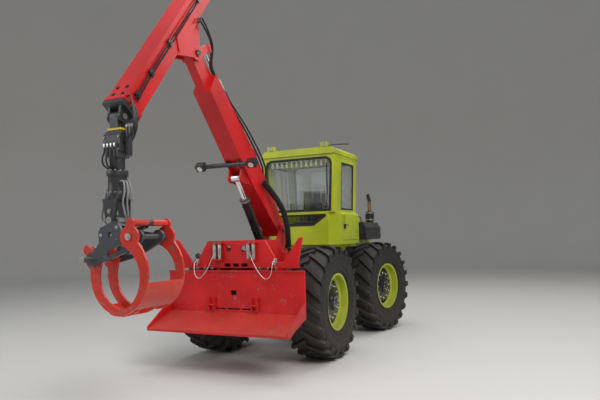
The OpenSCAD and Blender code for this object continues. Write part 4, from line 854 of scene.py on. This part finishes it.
def hose_table():
    tip = near_tip
    hoses = []
    # Three hoses along the upper side of the boom
    for i, y in enumerate((-0.114, -0.085, 0.085)):
        hoses.append((f"boom_hose_{i}", "black_hose", 0.013, "boom", boom_path(
            (0.45, y, 0.165), (0.9, y, 0.205), (1.25, y * 1.9, 0.232), (1.9, y * 1.8, 0.225),
            (2.5, y * 1.2, 0.19), (2.95, y, 0.155))))
    # Loops over the knuckle
    for i, (y, lift) in enumerate(((-0.114, 0.30), (-0.085, 0.36), (0.085, 0.33))):
        start, end = on_boom(2.95, y, 0.155), on_stick(-0.25, y * 1.75, 0.30)
        middle = (start + end) / 2 + shift_by(on_boom, 0, 0, lift) * 0.6
        hoses.append((f"knuckle_hose_{i}", "black_hose", 0.013,
                      ("boom", "stick", tuple(start), tuple(end)),
                      [start, start + shift_by(on_boom, 0.15, 0, 0.03), middle,
                       end - shift_by(on_stick, 0.12, 0, 0.02), end]))
    # Loops from the extension's end down to the hanger's side
    for i in range(3):
        start = tip(0.085 - 0.045 * i, -0.152, 0.10 + 0.06 * i)
        end = tip(0.045 - 0.045 * i, -0.120, -0.290)
        wide = 0.225 + 0.022 * i
        hoses.append((f"tip_hose_{i}", "black_hose", 0.011,
                      ("extension", "hanger", tuple(start), tuple(end)),
                      [start, start + Vector((0, -0.040, 0.004)), tip(0.07 - 0.05 * i, -wide, 0.02),
                       tip(0.06 - 0.05 * i, -wide, -0.15), end + Vector((0, -0.050, 0.010)), end]))
    # Four hoses from the hanger's fittings to the rotator's upper ring
    for i, y in enumerate(HANGER_PORTS_Y):
        hoses.append((f"hanger_hose_{i}", "black_hose", 0.010, "hanger", [
            tip(-0.124, y, -0.360), tip(-0.126, y, -0.400), tip(-0.146, y * 1.15, -0.490),
            tip(-0.132, y * 1.05, -0.560), tip(-0.078, y * 0.80, -0.598)]))
    # Hoses from the rotator to the grapple head
    for i, (x, side) in enumerate(((-0.075, -1), (-0.030, -1), (0.015, -1), (0.040, 1))):
        start, end = tip(x, side * 0.112, -0.745), on_head(x * 0.8, side * 0.095, -0.075)
        low = on_head(x * 1.2, side * (0.215 + 0.012 * i), 0.12)
        hoses.append((f"head_hose_{i}", "pale_hose", 0.011,
                      ("rotator", "grapple_head", tuple(start), tuple(end)),
                      [start, start + Vector((0, side * 0.045, -0.010)),
                       (start + low) / 2 + Y * side * 0.040, low, end + Vector((0, side * 0.060, 0.045)),
                       end]))
    return hoses


class SKIDDER_OT_hoses(bpy.types.Operator):
    """Runs the hydraulic hoses and the guarded bundle at the boom's foot"""

    bl_idname = "skidder.hoses"
    bl_label = "Hoses"

    def execute(self, context):
        for name, material, radius, body, points in hose_table():
            path = smooth_path(points, 8)
            hose = Form()
            hose.tube(path, radius, 10)
            hose.make(name, material, body)
        guard_bundle()
        return {"FINISHED"}


def guard_bundle():
    """Hoses in a spiral guard from the base up to the boom's side."""
    route = [(0.100, -0.290, 1.790), (0.060, -0.330, 1.840), (0.010, -0.350, 1.980),
             (-0.030, -0.355, 2.150), (-0.110, -0.335, 2.380), (-0.260, -0.285, 2.590),
             (-0.400, -0.235, 2.740), (-0.520, -0.2035, 2.850)]
    frames = carried_axes(smooth_path([(x + AXLE_X, y, z) for x, y, z in route], 10))
    bundle, spiral = Form(), Form()
    for a in turns(6):
        bundle.tube([p + (u * math.cos(a) + v * math.sin(a)) * 0.030 for p, u, v, s in frames], 0.016, 8)
    bundle.make("guarded_hoses", "black_hose", "boom", "hose_rubber", ("hose_bundle",))
    pitch, coil_radius, step = 0.034, 0.0490, 0.004
    total = frames[-1][3]
    count = int(total / step)
    coil, j = [], 0
    for n in range(count):
        s = total * n / (count - 1)
        while j < len(frames) - 2 and frames[j + 1][3] < s:
            j += 1
        p0, u0, v0, s0 = frames[j]
        p1, u1, v1, s1 = frames[j + 1]
        f = (s - s0) / max(s1 - s0, 1e-6)
        a = 2 * math.pi * s / pitch
        p, u, v = p0.lerp(p1, f), u0.lerp(u1, f), v0.lerp(v1, f)
        coil.append(p + (u * math.cos(a) + v * math.sin(a)) * coil_radius)
    spiral.tube(coil, 0.0052, 5)
    spiral.make("spiral_guard", "plastic", "boom")


# Crane fittings: pin caps, bolts, glands, pipes


def pin_cap(form, at, half_width, radius, bolts=4):
    """A cap plate with its bolts at both ends of a pin across the arm."""
    for side in (-1, 1):
        face = Vector(at) + Y * side * half_width
        form.bar(face, face + Y * side * 0.008, radius, 28)
        for a in turns(bolts):
            spot = face + (X * math.cos(a + 0.5) + Z * math.sin(a + 0.5)) * radius * 0.62
            form.bolt(spot + Y * side * 0.008, Y * side, radius * 0.34, 0.009, washer=False)


def gland(form, foot, eye, reach, radius):
    """The gland nut and wiper ring at the open end of a barrel."""
    along = (Vector(eye) - Vector(foot)).normalized()
    at = Vector(foot) + along * reach
    form.bar(at - along * 0.050, at - along * 0.012, radius + 0.006, 12)
    form.bar(at - along * 0.012, at + along * 0.004, radius - 0.010, 28)


def barrel_pipe(form, foot, eye, out, reach, radius, side):
    """A steel pipe with two clamps along a barrel."""
    along = (Vector(eye) - Vector(foot)).normalized()
    off = out * (radius + 0.014) + Y * side
    start = Vector(foot) + along * 0.14
    form.tube(smooth_path([start + out * radius * 0.6 + Y * side, start + off + along * 0.03,
                           start + off + along * 0.30, start + off + along * (reach - 0.26),
                           start + off + along * (reach - 0.21), start + out * radius * 0.6 + Y * side
                           + along * (reach - 0.18)], 6), 0.009, 8)
    for share in (0.3, 0.75):
        at = start + along * reach * share
        form.bar(at + off * 0.75, at + off * 1.0 + out * 0.012, 0.018, 8)


class SKIDDER_OT_crane_parts(bpy.types.Operator):
    """Adds the crane's pin caps, slewing bolts, cylinder glands, pipes and clamps"""

    bl_idname = "skidder.crane_parts"
    bl_label = "Crane fittings"

    def execute(self, context):
        self.knuckle_valve()
        self.winch_bolts()
        self.slew_ring()
        boom = Form()
        pin_cap(boom, STICK_FOOT, 0.098, 0.032)
        boom.make("boom_fittings", "dull", "boom")
        self.stick_pipes()
        self.cylinder("lift_barrel", LIFT_FOOT, LIFT_EYE, reach=0.98, radius=0.080, side=-1)
        self.cylinder("stick_barrel", STICK_FOOT, STICK_EYE, reach=1.18, radius=0.070, side=1)
        return {"FINISHED"}

    def knuckle_valve(self):
        """Valve blocks with their fittings on the boom, on both sides of the rod's way."""
        valve = Form()
        foot, top, width = 0.150, 0.196, 0.086
        for y in (-0.136, 0.050):
            valve.block((2.66, y, foot), (2.86, y + width, top), on_boom)
        for y in (-0.114, -0.074, 0.072, 0.114):
            valve.bar(on_boom(2.80, y, top - 0.001), on_boom(2.80, y, top + 0.036), 0.013, 6)
            valve.bolt(on_boom(2.70, y, top), shift_by(on_boom, 0, 0, 1), 0.016, 0.010, washer=False)
        valve.make("knuckle_valve", "silver", "boom")

    def winch_bolts(self):
        """Bolts on the brackets of the rope rollers and along the winch frame."""
        bolts = Form()
        bracket_x, bracket_top, row_z = -1.148 + AXLE_X, 1.890, 1.500
        for side in (-1, 1):
            for d in (-1, 1):
                bolts.bolt((bracket_x, side * FAIRLEAD_Y + d * 0.041, bracket_top), Z, 0.034, 0.014)
            for y in (0.42, 0.56, 0.70):
                bolts.bolt((PLATE_X, side * y, row_z), -X, 0.030, 0.014)
        bolts.make("winch_frame_bolts", "dull", "root")

    def slew_ring(self):
        """The column's pin caps and the bolts over and under the slewing ring."""
        column, base = Form(), Form()
        pin_cap(column, BOOM_FOOT, 0.207, 0.056, 5)
        pin_cap(column, LIFT_FOOT, 0.123, 0.034)
        centre = joint_at("slew")
        centre.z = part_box("crane_base")[1].z
        under, lower_circle = 0.081, 0.285
        over, upper_circle = 0.0705, 0.262
        for a in turns(28):
            spoke = X * math.cos(a) + Y * math.sin(a)
            base.bolt(centre - Z * under + spoke * lower_circle, -Z, 0.022, 0.014)
            column.bolt(centre + Z * over + spoke * upper_circle, Z, 0.022, 0.014)
        column.make("column_fittings", "dull", "column")
        base.make("slew_bolts", "dull", "root")

    def stick_pipes(self):
        """Two steel pipes with their clamps along the stick's side, and four bosses near its tip."""
        stick = Form()
        pin_cap(stick, KNUCKLE, 0.127, 0.050, 5)
        pipe_y, clamp_y, stick_top = -0.158, -0.175, 0.597
        for h in (0.50, 0.46):
            bends = ((-0.70, pipe_y, h), (0.0, pipe_y - 0.012, h), (1.0, pipe_y, h),
                     (1.52, pipe_y, h - 0.02))
            stick.tube(smooth_path([on_stick(*bend) for bend in bends], 8), 0.010, 8)
        for s in (-0.55, 0.45, 1.05, 1.45):
            stick.block((s - 0.03, clamp_y, 0.435), (s + 0.03, pipe_y + 0.020, 0.525), on_stick)
            stick.bolt(on_stick(s, clamp_y, 0.48), -Y, 0.020, 0.010)
        for s in (1.42, 1.54):
            for y in (-0.07, 0.07):
                stick.bolt(on_stick(s, y, stick_top), shift_by(on_stick, 0, 0, 1), 0.040, 0.012)
        stick.make("stick_pipes", "black", "stick")

    def cylinder(self, body, foot, eye, reach, radius, side):
        """A cylinder's gland, and the pipe along its upper or lower side."""
        along = (eye - foot).normalized()
        nut, pipe = Form(), Form()
        gland(nut, foot, eye, reach, radius)
        nut.make(body + "_gland", "dull", body)
        barrel_pipe(pipe, foot, eye, Vector((along.z, 0, -along.x)) * side, reach, radius - 0.010, 0.02)
        pipe.make(body + "_pipe", "black", body)


def cylinder_eye(joint, node):
    """The eye of a cylinder's rod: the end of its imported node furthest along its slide."""
    axis = Vector(JOINTS[joint]["axis"]).normalized()
    foot = joint_at(joint.replace("rod_slide", "barrel_swing"))
    reach = max((v.co - foot).dot(axis) for v in NODES[node].data.vertices)
    return foot + axis * reach


LIFT_FOOT, STICK_FOOT = joint_at("lift_barrel_swing"), joint_at("stick_barrel_swing")
LIFT_EYE = cylinder_eye("lift_rod_slide", "lift_rod")
STICK_EYE = cylinder_eye("stick_rod_slide", "stick_rod")


# Hanger, rotator and grapple fittings


class SKIDDER_OT_grapple_parts(bpy.types.Operator):
    """Adds the fittings, bolts and pin plates of the hanger, rotator and grapple"""

    bl_idname = "skidder.grapple_parts"
    bl_label = "Grapple fittings"

    def execute(self, context):
        self.hanger()
        self.rotator()
        self.head()
        return {"FINISHED"}

    def hanger(self):
        """Hose fittings, bolts, the yellow mark and the pin's caps."""
        silver, bolts, mark, pin = Form(), Form(), Form(), Form()
        port_z = -0.330
        for y in HANGER_PORTS_Y:
            silver.bar(near_tip(-0.09, y, port_z), near_tip(-0.135, y, port_z), 0.015, 6)
            silver.bar(near_tip(-0.12, y, port_z), near_tip(-0.128, y, port_z - 0.032), 0.011, 10)
        for y in (-0.105, 0.105):
            for z in (-0.245, -0.385):
                for side in (-1, 1):
                    bolts.bolt(near_tip(side * 0.095, y, z), X * side, 0.022, 0.012)
        mark.block((-0.0575, -0.0965, -0.155), (0.0575, 0.0965, -0.133), near_tip)
        silver.bar(near_tip(0, -0.167, -0.118), near_tip(0, -0.167, -0.150), 0.036, 20)
        silver.make("hanger_fittings", "silver", "hanger")
        bolts.make("hanger_bolts", "dull", "hanger")
        mark.make("hanger_mark", "yellow", "hanger")
        pin_cap(pin, TIP, 0.109, 0.036, 3)
        pin.make("tip_pin_caps", "dull", "hanger")

    def rotator(self):
        """The flanges' bolts and the pin and bolts of the fork."""
        turn = Form()
        flange = Vector((TIP.x, TIP.y, joint_at("rotator_turn").z))
        for a in turns(12):
            spoke = X * math.cos(a) + Y * math.sin(a)
            turn.bolt(flange + spoke * 0.104, Z, 0.020, 0.012)
            turn.bolt(flange - Z * 0.250 + spoke * 0.114, Z, 0.020, 0.012)
        for side in (-1, 1):
            turn.bolt(TILT + X * side * 0.127 + Z * 0.10, X * side, 0.040, 0.016)
            turn.bar(TILT + X * side * 0.126, TILT + X * side * 0.141, 0.040, 24)
        turn.make("rotator_bolts", "dull", "rotator")

    def head(self):
        """The pin plates of the jaws and the bolts of the head's plates."""
        head = Form()
        pin_half = 0.3245
        for side in (-1, 1):
            for pivot in (JAW_RIGHT, JAW_LEFT):
                end = pivot + X * side * pin_half
                head.bar(end - X * side * 0.006, end + X * side * 0.004, 0.038, 24)
                head.bolt(end + X * side * 0.004, X * side, 0.026, 0.012)
            for y in (-0.12, 0.12):
                head.bolt(on_head(side * 0.186, y, -0.13), X * side, 0.026, 0.012)
        head.make("grapple_bolts", "silver", "grapple_head")


# Cab trim

GLASS_LOW, GLASS_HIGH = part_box("cab_glass")
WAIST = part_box("cab_rear_wall")[0].z + 0.55


def pane_outline(node, keep):
    """The outline of a pane, walked round its middle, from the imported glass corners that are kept."""
    spots = []
    for vertex in NODES[node].data.vertices:
        if keep(vertex.co) and not any((vertex.co - s).length < 0.002 for s in spots):
            spots.append(vertex.co.copy())
    middle = sum(spots, Vector()) / len(spots)
    normal = None
    for a in spots:
        for b in spots:
            square = (a - middle).cross(b - middle)
            if square.length > 0.05:
                normal = square.normalized()
    across, up = side_axes(normal)
    return sorted(spots, key=lambda p: math.atan2((p - middle).dot(up), (p - middle).dot(across))), normal


def seal_strip(form, outline, normal, width=0.034, proud=0.006, shift=0.0):
    """A flat rubber strip that follows a pane's outline."""
    middle = sum(outline, Vector()) / len(outline)
    n = len(outline)
    loops = []
    for i, point in enumerate(outline):
        before, after = outline[i - 1], outline[(i + 1) % n]
        ahead = ((point - before).normalized() + (after - point).normalized()).normalized()
        inward = normal.cross(ahead).normalized()
        if inward.dot(middle - point) < 0:
            inward = -inward
        stretch = 1.0 / max(0.4, abs((point - before).normalized().dot(ahead)))
        at = point + normal * shift
        outer, inner = at - inward * 0.012 * stretch, at + inward * width * stretch
        loops.append([outer - normal * 0.008, outer + normal * proud, inner + normal * proud,
                      inner - normal * 0.008])
    form.rings(loops, closed=True)


class SKIDDER_OT_cab_trim(bpy.types.Operator):
    """Adds window seals, wiper, blind, lamps, handles, latches, grab rails, exhaust sleeve and bands"""

    bl_idname = "skidder.cab_trim"
    bl_label = "Cab trim"

    def execute(self, context):
        self.seals()
        self.wiper()
        self.blind()
        self.lamps()
        self.handles()
        self.latches()
        self.stack()
        self.rails()
        return {"FINISHED"}

    def seals(self):
        """Rubber seals on both sides of the fixed panes and outside the doors' panes."""
        seals = Form()
        for keep, shift in (
                (lambda p: abs(p.x - GLASS_LOW.x) < 0.002 and p.z > WAIST + 0.01, -0.013),
                (lambda p: abs(p.x - GLASS_LOW.x) < 0.002 and p.z < WAIST, -0.013),
                (lambda p: abs(p.x - GLASS_HIGH.x) < 0.002, 0.013)):
            outline, normal = pane_outline("cab_glass", keep)
            if normal.x < 0:
                normal = -normal
            seal_strip(seals, outline, normal, shift=shift)
            seal_strip(seals, outline, normal, width=0.020, shift=shift * -0.8)
        seals.make("window_seals", "seal", "root")
        for side, name in ((1, "left"), (-1, "right")):
            form = Form()
            outline = outer_corners("door_glass_" + name, side)
            normal = (outline[1] - outline[0]).cross(outline[2] - outline[1]).normalized()
            if normal.y * side < 0:
                normal = -normal
            seal_strip(form, outline, normal, shift=0.010)
            form.make("door_seal_" + name, "seal", "door_" + name)

    def wiper(self):
        """The rear wiper with its motor cap, arm and blade."""
        wiper = Form()
        face, y, foot = GLASS_LOW.x - 0.030, -0.57, WAIST + 0.10
        wiper.bar((face, y, foot), (face - 0.012, y, foot), 0.030, 20)
        wiper.tube(smooth_path([(face - 0.006, y, foot), (face - 0.010, y - 0.03, foot + 0.20),
                                (face - 0.004, y - 0.03, foot + 0.65)], 6), 0.008, 8)
        wiper.block((face - 0.004, y - 0.042, foot + 0.23), (face + 0.008, y - 0.020, foot + 0.82))
        wiper.make("rear_wiper", "plastic", "root")

    def blind(self):
        """Pale slats of the blind at the top of the rear window, on their rail."""
        slats = Form()
        x, top = GLASS_LOW.x + 0.030, GLASS_HIGH.z - 0.035
        first, pitch, length = -0.572, 0.104, 0.115
        for k in range(12):
            y = first + pitch * k
            slats.block((x, y - 0.016, top - length), (x + 0.006, y + 0.016, top))
        slats.block((x - 0.002, -0.60, top - 0.002), (x + 0.010, 0.60, top + 0.007))
        slats.make("blind_slats", "pale", "root")

    def lamps(self):
        """Two round lamps in the roof's rear edge and the lenses of the lamps on the boom."""
        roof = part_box("cab_roof")
        glass, cases = Form(), Form()
        for side in (-1, 1):
            at = Vector((roof[0].x, side * 0.56, roof[1].z - 0.045))
            glass.bar(at + X * 0.02, at, 0.034, 24)
            cases.lathe([(0.037, 0.02), (0.043, 0.02), (0.043, 0.0), (0.036, 0.0)], at, X, 24)
        glass.make("roof_lamp_lenses", "lens", "root")
        cases.make("roof_lamp_rings", "plastic", "root")
        lenses = Form()
        lamps_s, face = 1.63, -0.285
        for y in (0.600, -0.330):
            lenses.bar(on_boom(lamps_s, y, face), on_boom(lamps_s, y, face - 0.006), 0.044, 24)
        lenses.make("boom_lamp_lenses", "lens", "boom")

    def handles(self):
        """A plate with a grip on each door."""
        for side, name in ((1, "left"), (-1, "right")):
            form = Form()
            leaf = [v.co for v in NODES["door_" + name].data.vertices if 1.86 < v.co.z < 2.6]
            x = min(v.x for v in leaf) + 0.095
            y = sorted(abs(v.y) for v in leaf)[len(leaf) // 2] * side
            faces = sorted((y - side * 0.006, y + side * 0.012))
            plate_z = (2.085, 2.175)
            form.block((x - 0.035, faces[0], plate_z[0]), (x + 0.035, faces[1], plate_z[1]))
            grip = ((0.0, 0.008, 2.160), (0.010, 0.036, 2.156), (0.060, 0.040, 2.150),
                    (0.105, 0.036, 2.146))
            form.tube(smooth_path([(x + ahead, y + side * out, z) for ahead, out, z in grip], 5),
                      0.009, 8)
            form.make("door_handle_" + name, "plastic", "door_" + name)

    def latches(self):
        """Rubber hood latches, and the thin bar at the roof's right rear corner."""
        latches = Form()
        side_y, foot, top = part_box("hood")[1].y, 1.745, 1.835
        for side in (-1, 1):
            for x in (2.28, 2.52, 3.42):
                y = side * side_y
                latches.block((x - 0.014, y - 0.004, foot), (x + 0.014, y + 0.004, top))
                y = side * (side_y + 0.006)
                latches.bar((x - 0.020, y, top - 0.005), (x + 0.020, y, top - 0.005), 0.008, 10)
        latches.make("hood_latches", "plastic", "root")
        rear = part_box("cab_roof")[0].x
        way = ((0.06, -0.62, 3.640), (0.06, -0.72, 3.655), (0.10, -0.90, 3.655), (0.12, -1.02, 3.650))
        bar = Form()
        bar.tube(smooth_path([(rear + x, y, z) for x, y, z in way], 5), 0.009, 8)
        bar.make("roof_bar", "plastic", "root")

    def stack(self):
        """The browned sleeve of the exhaust stack and the silencer's bands."""
        low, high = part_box("silencer")
        middle = Vector((high.x - 0.100, (low.y + high.y) / 2, 0))
        pipe, bands = Form(), Form()
        pipe.lathe([(0.0385, 0.262), (0.0400, 0.262), (0.0400, 0.470), (0.0385, 0.470)],
                   (middle.x, middle.y, low.z), Z, 28)
        for z in (0.05, 0.20):
            bands.lathe([(0.099, z), (0.1035, z), (0.1035, z + 0.022), (0.099, z + 0.022)],
                        (middle.x, middle.y, low.z), Z, 36)
        pipe.make("stack_sleeve", "exhaust", "root")
        bands.make("silencer_bands", "silver", "root")

    def rails(self):
        """A grab rail at each front corner of the cab."""
        rails = Form()
        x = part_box("cab_front_wall")[1].x - 0.03
        for side in (-1, 1):
            bends = ((0.765, 1.98), (0.82, 2.02), (0.82, 2.18), (0.82, 2.30), (0.765, 2.34))
            rails.tube(smooth_path([(x, side * y, z) for y, z in bends], 5), 0.011, 10)
        rails.make("grab_rails", "black", "root")


def outer_corners(node, side):
    """The four outer corners of a leaning pane, in order round it."""
    spots = [v.co.copy() for v in NODES[node].data.vertices]
    low = min(p.z for p in spots)
    high = max(p.z for p in spots)
    x0, x1 = min(p.x for p in spots), max(p.x for p in spots)
    corners = []
    for z, x in ((low, x0), (low, x1), (high, x1), (high, x0)):
        near = [p for p in spots if abs(p.z - z) < 0.004 and abs(p.x - x) < 0.004]
        corners.append(max(near, key=lambda p: p.y * side))
    return corners


# Stage


class SKIDDER_OT_stage(bpy.types.Operator):
    """Sets the pale floor, the soft lights and the camera"""

    bl_idname = "skidder.stage"
    bl_label = "Stage"

    def execute(self, context):
        stage = settings().stage
        finish = Finish("FloorPaint")
        shade = finish.noise(0.5, 3.0, 0.5)
        colour = tuple(stage.floor)
        finish.set(Base_Color=finish.mix(shade, colour, tuple(c * 0.96 for c in colour)))
        finish.shader.inputs["Roughness"].default_value = 0.8
        MATERIALS["floor"] = finish.material
        # A round sweep: flat floor, then a wide curve up to a wall
        bend, flat, wall = 9.0, 22.0, 34.0
        quarter = [k * math.pi / 24 for k in range(13)]
        curve = [(flat + bend * math.sin(t), bend - bend * math.cos(t)) for t in quarter]
        sweep = Form()
        sweep.rings([[(r * math.cos(a), r * math.sin(a), z) for a in turns(72)]
                     for r, z in [(0.01, 0.0), (8.0, 0.0), *curve, (flat + bend, wall)]], caps=False)
        sweep.make("Floor", "floor", None)
        world = context.scene.world or bpy.data.worlds.new("World")
        context.scene.world = world
        world.use_nodes = True
        back = world.node_tree.nodes["Background"]
        back.inputs["Color"].default_value = (0.83, 0.86, 0.90, 1.0)
        back.inputs["Strength"].default_value = 0.42
        key = stage.light
        lights = (("Key", (-7.0, -9.0, 10.5), key * 1.1, 7.0, (1.0, 0.98, 0.94)),
                  ("Fill", (-9.0, 7.0, 7.0), key * 0.35, 8.0, (0.92, 0.96, 1.0)),
                  ("Top", (1.0, 0.0, 12.0), key * 0.40, 8.0, (1.0, 1.0, 1.0)),
                  ("Rear", (9.0, -6.0, 12.0), key * 0.4, 8.0, (1.0, 0.98, 0.95)))
        machine_middle = Vector((-1.0, 0.0, 1.8))
        for name, at, power, width, colour in lights:
            lamp = bpy.data.lights.new(name, "AREA")
            lamp.energy, lamp.size, lamp.color = power, width, colour
            holder = bpy.data.objects.new(name, lamp)
            holder.location = at
            aim = machine_middle - Vector(at)
            holder.rotation_euler = aim.to_track_quat("-Z", "Y").to_euler()
            context.scene.collection.objects.link(holder)
        lens = bpy.data.cameras.new("Camera")
        lens.lens, lens.sensor_width = stage.lens, 36.0
        lens.clip_end = 200.0
        camera = bpy.data.objects.new("Camera", lens)
        heading, pitch = stage.heading, stage.pitch
        ahead = Vector((math.cos(heading) * math.cos(pitch),
                        math.sin(heading) * math.cos(pitch), math.sin(pitch)))
        turn = ahead.to_track_quat("-Z", "Y").to_matrix().to_4x4() @ Matrix.Rotation(stage.roll, 4, "Z")
        camera.matrix_world = Matrix.Translation(Vector(stage.camera_place)) @ turn
        context.scene.collection.objects.link(camera)
        context.scene.camera = camera
        context.scene.view_settings.view_transform = "Standard"
        context.scene.view_settings.look = "None"
        return {"FINISHED"}


# Panel and registration


class SKIDDER_PT_panel(bpy.types.Panel):
    """Lists the pieces of the crane skidder"""

    bl_label = "Crane Skidder"
    bl_idname = "SKIDDER_PT_panel"
    bl_space_type = "VIEW_3D"
    bl_region_type = "UI"
    bl_category = "Skidder"

    def draw(self, context):
        layout = self.layout
        for group in (settings().paint, settings().tyre, settings().stage):
            box = layout.box()
            for name in group.bl_rna.properties.keys():
                if name not in ("rna_type", "name"):
                    box.prop(group, name)
        for operator in OPERATORS:
            layout.operator(operator.bl_idname)


OPERATORS = (
    SKIDDER_OT_finishes,
    SKIDDER_OT_tyres,
    SKIDDER_OT_hubs,
    SKIDDER_OT_ropes,
    SKIDDER_OT_hoses,
    SKIDDER_OT_crane_parts,
    SKIDDER_OT_grapple_parts,
    SKIDDER_OT_cab_trim,
    SKIDDER_OT_stage,
)
CLASSES = (PaintSettings, TyreSettings, StageSettings, SkidderSettings, *OPERATORS, SKIDDER_PT_panel)


def register():
    for cls in CLASSES:
        bpy.utils.register_class(cls)
    bpy.types.Scene.skidder = PointerProperty(type=SkidderSettings)


def unregister():
    del bpy.types.Scene.skidder
    for cls in reversed(CLASSES):
        bpy.utils.unregister_class(cls)


def main():
    register()
    for operator in OPERATORS:
        group, name = operator.bl_idname.split(".")
        getattr(getattr(bpy.ops, group), name)()


if __name__ == "__main__":
    main()
